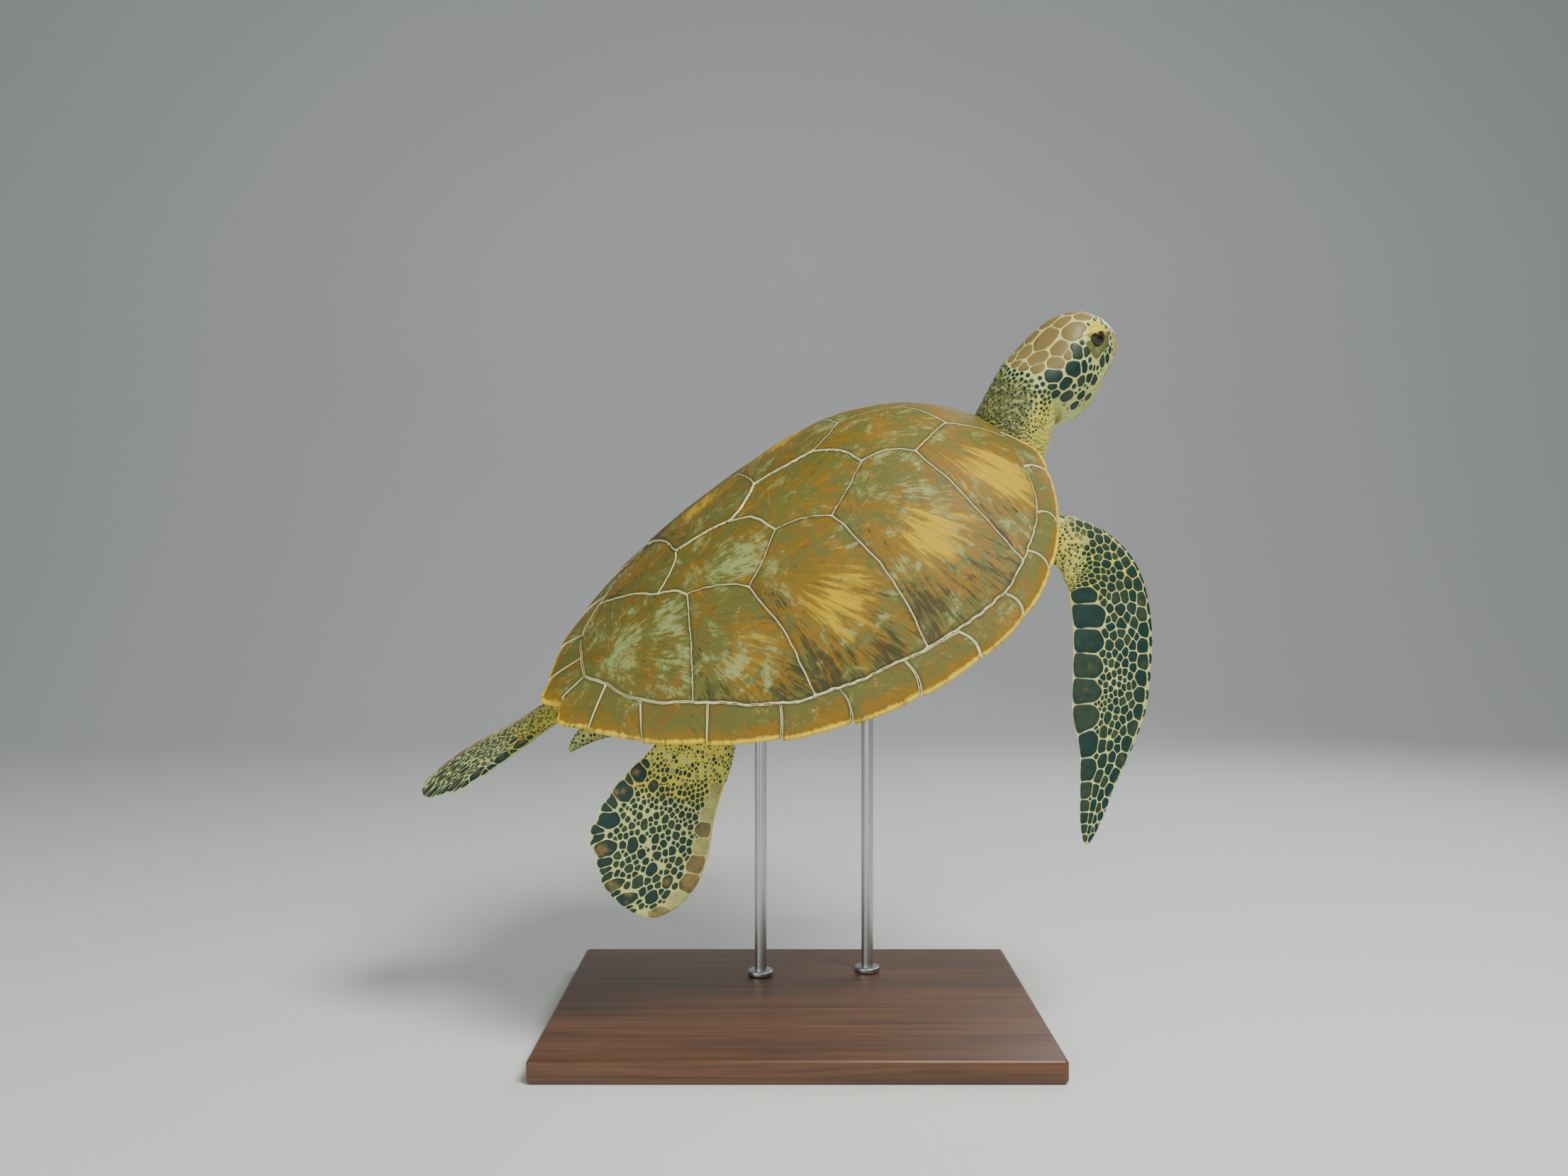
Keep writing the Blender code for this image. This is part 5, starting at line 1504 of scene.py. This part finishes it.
def soften_joints(skin):
    """Round the skin off where one part of the body meets another."""
    mesh = skin.data
    points = vertices_of(skin)
    part = np.empty(len(points), dtype=np.float32)
    mesh.attributes["part"].data.foreach_get("value", part)
    ends = np.empty(len(mesh.edges) * 2, dtype=np.int32)
    mesh.edges.foreach_get("vertices", ends)
    ends = ends.reshape(-1, 2)
    crossing = np.abs(part[ends[:, 0]] - part[ends[:, 1]]) > 0.01
    reach = nearest(points, points[ends[crossing]].mean(axis=1))
    share = smooth_step(JOINT_REACH, JOINT_REACH / 4, reach)
    group = skin.vertex_groups.new(name="joints")
    for index in np.flatnonzero(share > 0.01):
        group.add([int(index)], float(share[index]), "REPLACE")
    apply_modifier(skin, "SMOOTH", factor=0.5, iterations=JOINT_PASSES, vertex_group="joints")
    skin.vertex_groups.clear()
    mesh.attributes.remove(mesh.attributes["part"])


def lid_rim(name, side):
    """The rolled edges of both lids: a ring of changing thickness round the opening."""
    centre, look, along, across = eye_frame(side)

    def place(u, v):
        turn = 2 * math.pi * u
        x = np.cos(turn) * math.radians(LID_OPENING[0])
        y = np.sin(turn) * math.radians(LID_OPENING[1]) * (1 - 0.25 * np.abs(np.cos(turn)) ** 6)
        angle = np.hypot(x, y)
        flat_share = np.sin(angle) / angle
        way = (along * (x * flat_share)[:, None] + across * (y * flat_share)[:, None]
               + look * np.cos(angle)[:, None])
        thick = np.where(np.sin(turn) > 0, *LID_THICK) * (0.55 + 0.45 * np.abs(np.sin(turn))) * MM
        ring = along * (-np.sin(turn))[:, None] + across * np.cos(turn)[:, None]
        ring = unit(ring - way * np.sum(ring * way, axis=1, keepdims=True))
        outward = np.cross(ring, way)
        angle = 2 * math.pi * v
        spoke = outward * np.cos(angle)[:, None] + way * np.sin(angle)[:, None]
        return posed(centre + way * (EYE_RADIUS + LID_RISE) + spoke * thick[:, None])

    def extras(u, v):
        upper = np.sin(2 * math.pi * u) > 0
        return marks(0 * u, np.where(upper, 0.9, 0.2), np.where(upper, 0.1, 0.8))

    return close_up(laid_grid(name, 90, 14, place, extras))


def make_eyes():
    for side, word in SIDES:
        centre, look, _, _ = eye_frame(side)
        select_only()
        bpy.ops.mesh.primitive_uv_sphere_add(segments=64, ring_count=32, radius=EYE_RADIUS,
                                             location=posed(centre))
        eye = bpy.context.object
        eye.name = eye.data.name = f"eyeball_{word}"
        bpy.ops.object.transform_apply(location=True, rotation=True, scale=True)
        way = (vertices_of(eye) - posed(centre)) / EYE_RADIUS
        set_attribute(eye, "gaze", np.arccos(np.clip(way @ (POSE @ look), -1, 1)))
        settle(eye, "eye", eye_material(), f"eye_{word}", smooth=80)


# The scales ----------------------------------------------------------------------------------------

class Seeds:
    """Scales to be: where each lies, its length and width, its colour and how it meets the others."""
    FIELDS = ("t", "w", "long", "wide", "kind", "pale", "cap", "gap", "fixed")

    def __init__(self, cap, gap):
        self.rows = []
        self.cap = cap
        self.gap = gap

    def add(self, t, w, long, wide=None, kind=0.0, pale=0.0, cap=None, gap=None, fixed=1.0):
        """Sizes are in millimetres; cap is how far a lone scale spreads, as a share of its size."""
        wide = long if wide is None else wide
        self.rows.append((t, w, long * MM, wide * MM, kind, pale, self.cap if cap is None else cap,
                          self.gap if gap is None else gap * MM, fixed))

    def table(self):
        return dict(zip(self.FIELDS, np.array(self.rows, dtype=float).T))


def skin_axes(surface, t, w):
    """Per place: square axes on the flat skin, and the steps of (t, w) that follow them by a metre."""
    step = 1e-3
    along = (surface.flat(t + step, w) - surface.flat(t - step, w)) / (2 * step)
    round_it = (surface.flat(t, w + step) - surface.flat(t, w - step)) / (2 * step)
    pace = np.linalg.norm(along, axis=-1, keepdims=True) + 1e-9
    first = along / pace
    lean = np.sum(round_it * first, axis=-1, keepdims=True)
    second = round_it - first * lean
    width = np.linalg.norm(second, axis=-1, keepdims=True) + 1e-9
    second = second / width
    steps = np.stack([np.concatenate([1 / pace, np.zeros_like(pace)], axis=-1),
                      np.concatenate([-lean / pace / width, 1 / width], axis=-1)], axis=-2)
    return first, second, steps


def fill(surface, seeds, spans, size_at, traits_at, inside, tries, seed, closeness):
    """Throw small scales into the room that is left, each as big as size_at says for its place."""
    draw = np.random.default_rng(seed)
    t = draw.uniform(*spans[0], tries)
    w = draw.uniform(*spans[1], tries)
    size = size_at(t, w) * MM
    keep = inside(t, w) & (size > 0)
    t, w, size = t[keep], w[keep], size[keep]
    points = surface.flat(t, w)
    placed = np.zeros((len(t) + len(seeds.rows), points.shape[-1]))
    taken = np.zeros(len(placed))
    count = len(seeds.rows)
    if count:
        known = seeds.table()
        placed[:count] = surface.flat(known["t"], known["w"])
        taken[:count] = np.sqrt(known["long"] * known["wide"])
    for index in range(len(t)):
        away = np.linalg.norm(placed[:count] - points[index], axis=1)
        if np.all(away > closeness * (taken[:count] + size[index]) / 2):
            placed[count] = points[index]
            taken[count] = size[index]
            count += 1
            traits = traits_at(t[index], w[index])
            seeds.add(t[index], w[index], size[index] / MM, fixed=0.0, **traits)


def cell_reach(surface, cells, inside, rays):
    """How far each scale reaches along each ray, up to where the next scale is as near."""
    at = surface.flat(cells["t"], cells["w"])
    first, second, steps = skin_axes(surface, cells["t"], cells["w"])
    half = np.sqrt(cells["long"] * cells["wide"]) / 2
    apart = np.linalg.norm(at[:, None] - at[None], axis=-1) - half[None]
    np.fill_diagonal(apart, np.inf)
    near = np.argsort(apart, axis=1)[:, :NEIGHBOURS]
    angle = np.linspace(0, 2 * math.pi, rays, endpoint=False)
    ellipse = 1 / np.sqrt((np.cos(angle) / (cells["long"][:, None] / 2)) ** 2
                          + (np.sin(angle) / (cells["wide"][:, None] / 2)) ** 2)
    way = np.cos(angle)[None, :, None] * steps[:, None, 0] + np.sin(angle)[None, :, None] * steps[:, None, 1]

    def beyond(points, index):
        """How far outside the ellipse of scale index each point lies."""
        away = points - at[index]
        x = np.sum(away * first[index], axis=-1)
        y = np.sum(away * second[index], axis=-1)
        off = np.sqrt(np.clip(np.sum(away * away, axis=-1) - x * x - y * y, 0, None))
        shape = np.sqrt((x / (cells["long"][index] / 2)) ** 2 + (y / (cells["wide"][index] / 2)) ** 2
                        + (off / half[index]) ** 2)
        return half[index] * (shape - 1)

    low = np.zeros_like(ellipse)
    high = ellipse * cells["cap"][:, None]
    own = np.arange(len(at))[:, None]
    for _ in range(HALVINGS):
        middle = (low + high) / 2
        t = cells["t"][:, None] + way[..., 0] * middle
        w = cells["w"][:, None] + way[..., 1] * middle
        points = surface.flat(t, w)
        mine = beyond(points, np.broadcast_to(own, t.shape))
        others = beyond(points[:, :, None], np.broadcast_to(near[:, None], (*t.shape, near.shape[1])))
        within = (mine <= others.min(axis=-1)) & inside(t, w)
        low = np.where(within, middle, low)
        high = np.where(within, high, middle)
    return low, way


def make_scales(name, surface, seeds, inside, spans, slot, relax=3, rise=1.0):
    """Solid scales, sunk a little into the skin at their edges, joined into one piece."""
    cells = seeds.table()
    for _ in range(relax):
        reach, way = cell_reach(surface, cells, inside, ROUGH_RAYS)
        area = np.sum(reach**2, axis=1)[:, None] + 1e-12
        shift = 2 / 3 * np.sum(reach[..., None] ** 3 * way, axis=1) / area
        loose = cells["fixed"] < 0.5
        cells["t"] = np.where(loose, cells["t"] + shift[:, 0], cells["t"])
        cells["w"] = np.where(loose, cells["w"] + shift[:, 1], cells["w"])
    reach, _ = cell_reach(surface, cells, inside, ROUGH_RAYS)
    groove = cells["gap"] / 2
    keep = (reach.min(axis=1) - groove > LEAST_REACH) & (reach.mean(axis=1) - groove > LEAST_MEAN)
    cells = {key: values[keep] for key, values in cells.items()}
    reach, way = cell_reach(surface, cells, inside, FINE_RAYS)
    around = np.median([np.roll(reach, turn, axis=1) for turn in range(-4, 5)], axis=0)
    reach = np.minimum(reach, SPIKE_LIMIT * around)
    for _ in range(2):
        reach = reach * 0.5 + (np.roll(reach, 1, axis=1) + np.roll(reach, -1, axis=1)) * 0.25
    reach = reach - cells["gap"][:, None] / 2
    draw = np.random.default_rng(len(cells["t"]))
    shade = draw.uniform(0, 1, len(cells["t"]))
    vertices, faces, total = [], [], 0
    records = {key: [] for key in ("rim", "shade", "kind", "pale")}
    charts = []
    for index in range(len(shade)):
        size = reach[index].mean() * 2
        if reach[index].min() < LEAST_DRAWN or size < LEAST_SIZE:
            continue
        step = 1 if size > 9 * MM else 2 if size > 4.5 * MM else 3
        rings = SCALE_RINGS if step < 3 else SMALL_RINGS
        r, d = reach[index, ::step], way[index, ::step]
        count = len(r)
        tall = min(sizes().scale_height, 0.16 * MM + 0.055 * size) * rise
        f = np.array([ring[0] for ring in rings])
        t = cells["t"][index] + np.outer(f, r * d[:, 0]).ravel()
        w = cells["w"][index] + np.outer(f, r * d[:, 1]).ravel()
        height = np.repeat([ring[1] for ring in rings], count) * tall
        t, w = np.append(t, cells["t"][index]), np.append(w, cells["w"][index])
        height = np.append(height, tall)
        normal = surface.normal(t, w)
        points = surface.place(t, w) + normal * height[:, None]
        vertices.append(points)
        charts.append(np.stack([t, w], axis=1))
        records["rim"].append(np.append(np.repeat(f, count), 0.0))
        records["shade"].append(np.full(len(t), shade[index]))
        for key in ("kind", "pale"):
            records[key].append(np.full(len(t), cells[key][index]))
        ring_start = total + np.arange(len(rings)) * count
        i = np.arange(count)
        j = (i + 1) % count
        for a, b in zip(ring_start, ring_start[1:]):
            faces += np.stack([a + i, a + j, b + j, b + i], axis=1).tolist()
        peak = np.full(count, total + len(t) - 1)
        faces += np.stack([ring_start[-1] + i, ring_start[-1] + j, peak], axis=1).tolist()
        faces.append((ring_start[0] + i[::-1]).tolist())
        total += len(t)
    mesh = bpy.data.meshes.new(name)
    mesh.from_pydata(posed(np.vstack(vertices)).tolist(), [], faces)
    thing = bpy.data.objects.new(name, mesh)
    bpy.context.scene.collection.objects.link(thing)
    for key, values in records.items():
        set_attribute(thing, key, np.concatenate(values))
    chart = np.vstack(charts)
    low = np.array([spans[0][0], spans[1][0]])
    wide = np.array([spans[0][1], spans[1][1]]) - low
    loops = np.empty(len(mesh.loops), dtype=int)
    mesh.loops.foreach_get("vertex_index", loops)
    flat = np.clip((chart - low) / wide, 0.001, 0.999)[loops]
    layer = mesh.uv_layers.new(name="OFBake")
    layer.data.foreach_set("uv", flat.astype(np.float32).ravel())
    in_edit_mode(thing, lambda: bpy.ops.mesh.normals_make_consistent(inside=False))
    return settle(thing, slot, scale_material(), smooth=50)


def chord_at(share, side):
    """w where the skin is a given share of the way from leading to trailing edge, on one face."""
    return side * math.acos(1 - 2 * share) / math.pi


def chord_share(w):
    return (1 - np.cos(math.pi * np.abs(w))) / 2


def march(surface, w, t_range, size_at, spread=1.0):
    """Places along a line of constant w, spaced by the sizes of the scales that they get."""
    t = np.linspace(*t_range, 600)
    path = surface.flat(t, np.full(600, w))
    along = np.concatenate([[0], np.cumsum(np.linalg.norm(np.diff(path, axis=0), axis=1))])
    places, at = [], 0.0
    while at < along[-1]:
        here = float(np.interp(at, along, t))
        size = float(size_at(here))
        middle = float(np.interp(at + size / 2 * MM, along, t))
        if at + size * MM > along[-1] + size / 2 * MM:
            break
        places.append((middle, size))
        at += size * MM * spread
    return places


def by_rib(ribs, values):
    return lambda t: np.interp(t, ribs, values)


def on_flipper(first, last):
    return lambda t, w: (t > first) & (t < last) & (np.abs(w) < FIN_LIMIT)


def front_scales(name):
    surface = FLIPPERS[name]
    seeds = Seeds(cap=1.5, gap=0.7 * MM)
    draw = np.random.default_rng(71 if name.endswith("right") else 72)
    first, last = 1.3, len(FRONT_RIBS) - 1.12
    inside = on_flipper(first, last)

    rear_size, rear_wide, rear_share = (by_rib(*table) for table in FRONT_HIND_ROW)
    for face in (1, -1):
        for t, size in march(surface, chord_at(0.90, face), (4.35, last), rear_size):
            wide = float(rear_wide(t)) * draw.uniform(0.85, 1.1)
            seeds.add(t, chord_at(float(rear_share(t)), face), size * draw.uniform(0.9, 1.0), wide, kind=0.05,
                      cap=2.4)
        for line, start, short, table, pace, spread, long, wide, kind in FRONT_ROWS:
            for t, size in march(surface, chord_at(line, face), (start, last - short), by_rib(*table), pace):
                seeds.add(t, chord_at(draw.uniform(*spread), face), size * long, size * wide, kind=kind)
    for t, size in march(surface, 0.0, (3.0, last), by_rib(*FRONT_LEADING)):
        seeds.add(t, 0.0, size, 12 if t < 9 else 8, kind=0.14, gap=0.6)

    def size_at(t, w):
        share = chord_share(w)
        middle = np.interp(t, (4.0, 5.2, 6.2, 7.2, 8.6, 10.0), (9.5, 11.5, 10.0, 7.4, 7.6, 10.0))
        middle = middle * (1 + 0.30 * wander(np.stack([t * 0.075, w * 0.06], axis=-1), 0.03, 81))
        middle = middle * np.interp(share, (0.0, 0.25, 0.45, 0.62, 0.75), (1.4, 1.3, 1.0, 0.85, 0.75))
        shoulder = smooth_step(2.6, 4.8, t + 2.2 * (0.6 - share))
        size = 2.9 + (np.clip(middle, 4.2, 13) - 2.9) * shoulder
        apart = (1 - chord_share(w)) * np.interp(t, (4.4, 8, 10, 12), (92, 90, 45, 10))
        taken = (t > 4.35) & (apart < rear_wide(t) * 0.75)
        return np.where(taken | ((share < 0.12) & (t > 3.4)), 0.0, size)

    def traits_at(t, w):
        share = float(chord_share(w))
        faded = float(smooth_step(4.9, 3.0, t + 1.2 * (1 - share)))
        return {"kind": 0.03 + 0.2 * faded, "pale": 0.55 * faded}

    fill(surface, seeds, ((first, last), (-0.95, 0.95)), size_at, traits_at, inside,
         tries=14000, seed=91, closeness=0.86)
    return make_scales(f"scales_{name}", surface, seeds, inside, ((first, last), (-1, 1)), "skin")


def rear_scales(name):
    surface = FLIPPERS[name]
    seeds = Seeds(cap=1.25, gap=1.0 * MM)
    draw = np.random.default_rng(73 if name.endswith("right") else 74)
    first, last = 1.2, len(REAR_RIBS) - 1.10
    inside = on_flipper(first, last)
    for face in (1, -1):
        turns = iter(range(3 if face < 0 else 0, 90))

        def edge_size(t):
            return REAR_EDGE[next(turns) % len(REAR_EDGE)]

        for t, size in march(surface, chord_at(0.93, face), (2.4, last), edge_size):
            wide = (size * 1.25 if size > 12 else 14) * (1.0 if t < 4.5 else 1.35)
            share = 1 - 0.42 * wide / float(np.interp(t, (2, 5, 7, 8), (78, 118, 95, 40)))
            seeds.add(t, chord_at(share, face), size, wide, kind=0.24 if size > 12 else 0.04, cap=2.2)
        for t, size in march(surface, chord_at(0.06, face), (2.6, last), by_rib(*REAR_LEADING)):
            seeds.add(t, chord_at(0.10, face), size, size * 1.05, kind=0.80, pale=0.42, gap=0.8, cap=1.8)
        for t, share, size in REAR_OVALS:
            seeds.add(t + draw.uniform(-0.1, 0.1), chord_at(share, face), size * 1.3, size, kind=0.14)

    def size_at(t, w):
        share = chord_share(w)
        base = np.interp(t, (1.2, 3.0, 5.0, 7.5), (2.7, 4.8, 7.2, 9.0))
        base = base * (1 + 0.35 * wander(np.stack([t * 0.03, w * 0.05], axis=-1), 0.012, 83))
        return np.where(((share > 0.84) | (share < 0.07)) & (t > 2.5), 0.0, base)

    def traits_at(t, w):
        faded = float(smooth_step(3.6, 2.0, t))
        return {"kind": 0.06, "pale": 0.50 * faded, "cap": 1.3}

    fill(surface, seeds, ((first, last), (-0.95, 0.95)), size_at, traits_at, inside,
         tries=16000, seed=92, closeness=0.87)
    return make_scales(f"scales_{name}", surface, seeds, inside, ((first, last), (-1, 1)), "skin", relax=2)


def head_angle(off, side):
    """The angle round the head of a plate off degrees from the midline on the right (-1) or left (1)."""
    turn = off * 0.912 if off < 68 else off - 6.0
    return math.radians(90 - side * turn)


def head_scales():
    seeds = Seeds(cap=2.4, gap=0.8 * MM)
    for x, off, long, wide, kind in CROWN:
        seeds.add(x, head_angle(off, 1), long, wide, kind=kind)
    for side in (1, -1):
        for x, off, long, wide, kind in CROWN_PAIRS:
            seeds.add(x, head_angle(off, side), long, wide, kind=kind)
        for x, off, long, wide in CHEEK:
            seeds.add(x, head_angle(off, side), long * CHEEK_GROWTH, wide * CHEEK_GROWTH, kind=0.0, cap=1.6,
                      gap=1.4)

    def inside(t, w):
        point = HEAD_SKIN.place(t, w)
        nape, _, up = head_frame()
        height = (point - nape) @ up / (HEAD * SHELL)
        mouth = mouth_height(t)
        good = (np.abs(height - mouth) > 0.022) | (t < 0.52)
        good &= ~((height < mouth) & (t > 0.60))
        good &= t < 0.845 + 0.10 * np.clip(height - 0.02, 0, 1) - 0.1 * np.clip(-0.02 - height, 0, 1)
        for side in (1, -1):
            _, distance, way, _ = lid_measure(point, side)
            _, look, along, _ = eye_frame(side)
            facing = way @ look > np.where(way @ along < -0.3, *FACING)
            good &= distance > EYE_RADIUS + np.where(facing, EYE_CLEAR_AHEAD, EYE_CLEAR) * MM
        return good & (t > HEAD_START)

    def size_at(t, w):
        off = np.abs(np.degrees(w) - 90)
        under = np.sin(w) < -0.15
        nape = 5.8 - 3.0 * smooth_step(0.02, -0.16, t)
        cheek = nape + 3.4 * smooth_step(0.06, 0.16, t) - 1.8 * smooth_step(0.50, 0.62, t)
        size = np.where(under, 6.0, cheek)
        brow = np.interp(t, (0.0, 0.10, 0.4, 0.45, 0.60, 0.62, 0.84), (40, 52, 56, 50, 40, 22, 24))
        crown = (off < brow) & (t > 0.02)
        return np.where(crown & (t < 0.83), 0.0, size)

    def traits_at(t, w):
        under = float(smooth_step(0.05, -0.35, math.sin(w)))
        nape = float(smooth_step(0.02, -0.14, t))
        cap = 1.15 - 0.3 * float(smooth_step(0.06, 0.16, t))
        return {"kind": 0.05, "pale": min(0.75 * under + 0.35 * nape, 0.9), "cap": cap, "gap": 0.9}

    spans = ((HEAD_START, 0.86), (0.0, 2 * math.pi))
    fill(HEAD_SKIN, seeds, spans, size_at, traits_at, inside,
         tries=14000, seed=93, closeness=0.92)
    wide = (spans[0], (-0.3, 2 * math.pi + 0.3))
    return make_scales("scales_head", HEAD_SKIN, seeds, inside, wide, "head", relax=2)


def neck_scales():
    """Small beads behind the head, which fade out down the neck and towards its underside."""
    seeds = Seeds(cap=1.05, gap=0.7 * MM)
    low, high = -0.46, -0.15

    def inside(t, w):
        ragged = low + 0.10 * wander(neck_points(t, w), 0.02, 85)
        return (t > ragged) & (t < high) & (np.sin(w) > -0.75)

    def size_at(t, w):
        return (3.1 - 0.5 * smooth_step(-0.2, -0.5, t)) * (1 + 0.25 * wander(neck_points(t, w), 0.015, 84))

    def traits_at(t, w):
        down = float(smooth_step(0.5, -0.4, math.sin(w)))
        return {"kind": 0.30, "pale": 0.35 + 0.50 * down, "cap": 1.05}

    spans = ((low - 0.12, high), (-0.9, math.pi + 0.9))
    fill(HEAD_SKIN, seeds, spans, size_at, traits_at, inside,
         tries=7000, seed=94, closeness=0.96)
    spans = ((low - 0.14, high), (-1.1, math.pi + 1.1))
    return make_scales("scales_neck", HEAD_SKIN, seeds, inside, spans, "skin", relax=1, rise=0.9)


def tail_scales():
    seeds = Seeds(cap=1.05, gap=0.8 * MM)
    last = len(TAIL) - 1.3

    def inside(t, w):
        return (t > 0.8) & (t < last)

    fill(TAIL_SKIN, seeds, ((0.8, last), (0, 2 * math.pi)), lambda t, w: np.full(np.shape(t), 4.2),
         lambda t, w: {"kind": 0.15, "pale": 0.35}, inside,
         tries=4000, seed=95, closeness=0.92)
    return make_scales("scales_tail", TAIL_SKIN, seeds, inside, ((0.8, last), (-0.4, 6.7)), "skin", relax=1)


def make_coat():
    for name in FLIPPERS:
        (front_scales if "front" in name else rear_scales)(name)
    head_scales()
    neck_scales()
    tail_scales()


# The stand and the stage ---------------------------------------------------------------------------

def make_base():
    low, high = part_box("stand_base")
    select_only()
    bpy.ops.mesh.primitive_cube_add(size=1, location=((Vector(low) + Vector(high)) / 2))
    base = bpy.context.object
    base.name = base.data.name = "stand_board"
    base.scale = Vector(high) - Vector(low)
    bpy.ops.object.transform_apply(location=True, rotation=True, scale=True)
    apply_modifier(base, "BEVEL", width=BOARD_BEVEL, segments=5)
    settle(base, "stand_wood", wood_material(), "stand_base")


def make_rods():
    for number in (1, 2):
        low, high = (Vector(corner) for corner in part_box(f"stand_rod_{number}"))
        middle = (low + high) / 2
        radius = (high.x - low.x) / 2
        tall = high.z - low.z - ROD_SHORT
        spread, thick, bevel = COLLAR
        select_only()
        bpy.ops.mesh.primitive_cylinder_add(vertices=64, radius=radius, depth=tall,
                                            location=(middle.x, middle.y, low.z + tall / 2))
        rod = bpy.context.object
        bpy.ops.mesh.primitive_cylinder_add(vertices=64, radius=radius * spread, depth=thick,
                                            location=(middle.x, middle.y, low.z + thick / 2))
        collar = bpy.context.object
        apply_modifier(collar, "BEVEL", width=bevel, segments=4)
        rod = joined(f"stand_post_{number}", [rod, collar])
        bpy.ops.object.transform_apply(location=True, rotation=True, scale=True)
        settle(rod, "stand_steel", steel_material(), f"stand_rod_{number}")


def make_stage():
    """A floor that sweeps up into a backdrop, soft lights and the camera."""
    width, length, flat, bend, forward = SWEEP

    def place(u, v):
        x = (u - 0.5) * width
        run = v * length
        turn = np.clip((run - flat) / bend, 0, math.pi / 2)
        rise = np.clip(run - flat - bend * math.pi / 2, 0, None)
        y = np.minimum(run, flat) + np.sin(turn) * bend - forward
        z = (1 - np.cos(turn)) * bend + rise
        return np.stack([x, y, z], axis=1)

    floor = laid_grid("studio_sweep", 12, 80, place)
    if floor.data.polygons[0].normal.z < 0:
        in_edit_mode(floor, lambda: bpy.ops.mesh.flip_normals())
    bpy.ops.object.shade_smooth()
    floor.data.materials.append(floor_material())
    floor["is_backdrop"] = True
    for name, where, size, power, colour in LAMPS:
        select_only()
        bpy.ops.object.light_add(type="AREA", location=where)
        lamp = bpy.context.object
        lamp.name = f"{name}_light"
        lamp.data.shape = "DISK"
        lamp.data.size = size
        lamp.data.energy = power
        lamp.data.color = colour
        aim = Vector(LAMP_AIM) - lamp.location
        lamp.rotation_euler = aim.to_track_quat("-Z", "Y").to_euler()
    scene = bpy.context.scene
    world = bpy.data.worlds.new("studio")
    world.use_nodes = True
    sky = world.node_tree.nodes["Background"].inputs
    sky["Color"].default_value = SKY
    sky["Strength"].default_value = SKY_STRENGTH
    scene.world = world
    select_only()
    bpy.ops.object.camera_add(location=CAMERA_PLACE, rotation=(math.pi / 2, 0, 0))
    camera = bpy.context.object
    camera.data.lens = CAMERA_LENS
    camera.data.sensor_width = SENSOR
    camera.data.clip_end = SIGHT
    scene.camera = camera


# The add-on --------------------------------------------------------------------------------------

class TURTLE_OT_back(bpy.types.Operator):
    """Model the thirteen big plates of the back"""
    bl_idname = "turtle.back"
    bl_label = "Back plates"

    def execute(self, context):
        make_back()
        return {"FINISHED"}


class TURTLE_OT_rim(bpy.types.Operator):
    """Model the nuchal plate and the marginal plates round the rim"""
    bl_idname = "turtle.rim"
    bl_label = "Rim plates"

    def execute(self, context):
        make_rim()
        return {"FINISHED"}


class TURTLE_OT_belly(bpy.types.Operator):
    """Model the plates of the underside and the bridges"""
    bl_idname = "turtle.belly"
    bl_label = "Belly plates"

    def execute(self, context):
        make_belly()
        return {"FINISHED"}


class TURTLE_OT_skin(bpy.types.Operator):
    """Model the one skin over body, neck, head, flippers and tail"""
    bl_idname = "turtle.skin"
    bl_label = "Skin"

    def execute(self, context):
        make_skin()
        return {"FINISHED"}


class TURTLE_OT_coat(bpy.types.Operator):
    """Model the scales of head, neck, flippers and tail"""
    bl_idname = "turtle.coat"
    bl_label = "Scales"

    def execute(self, context):
        make_coat()
        return {"FINISHED"}


class TURTLE_OT_eyes(bpy.types.Operator):
    """Model both eyeballs"""
    bl_idname = "turtle.eyes"
    bl_label = "Eyes"

    def execute(self, context):
        make_eyes()
        return {"FINISHED"}


class TURTLE_OT_stand(bpy.types.Operator):
    """Model the stand's board and its two posts"""
    bl_idname = "turtle.stand"
    bl_label = "Stand"

    def execute(self, context):
        make_base()
        make_rods()
        return {"FINISHED"}


class TURTLE_OT_stage(bpy.types.Operator):
    """Set up floor, backdrop, lights and camera"""
    bl_idname = "turtle.stage"
    bl_label = "Stage"

    def execute(self, context):
        make_stage()
        return {"FINISHED"}


class TURTLE_PT_panel(bpy.types.Panel):
    """Steps of the model, in order"""
    bl_idname = "TURTLE_PT_panel"
    bl_label = "Green sea turtle"
    bl_space_type = "VIEW_3D"
    bl_region_type = "UI"
    bl_category = "Turtle"

    def draw(self, context):
        for step in STEPS:
            self.layout.operator(step.bl_idname)


STEPS = (TURTLE_OT_back, TURTLE_OT_rim, TURTLE_OT_belly, TURTLE_OT_skin, TURTLE_OT_coat, TURTLE_OT_eyes,
         TURTLE_OT_stand, TURTLE_OT_stage)
CLASSES = (TurtleColours, TurtleSizes, *STEPS, TURTLE_PT_panel)


def register():
    for part in CLASSES:
        bpy.utils.register_class(part)
    bpy.types.Scene.turtle_colours = PointerProperty(type=TurtleColours)
    bpy.types.Scene.turtle_sizes = PointerProperty(type=TurtleSizes)


def unregister():
    del bpy.types.Scene.turtle_sizes
    del bpy.types.Scene.turtle_colours
    for part in reversed(CLASSES):
        bpy.utils.unregister_class(part)


def main():
    register()
    for step in STEPS:
        group, name = step.bl_idname.split(".")
        result = getattr(getattr(bpy.ops, group), name)()
        if result != {"FINISHED"}:
            raise RuntimeError(f"{step.bl_label} did not finish")
    bpy.context.view_layer.update()
    boxes = {"cad": CAD_BOX, "visual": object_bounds()}
    plain = {key: [[float(value) for value in corner] for corner in box] for key, box in boxes.items()}


if __name__ == "__main__":
    main()
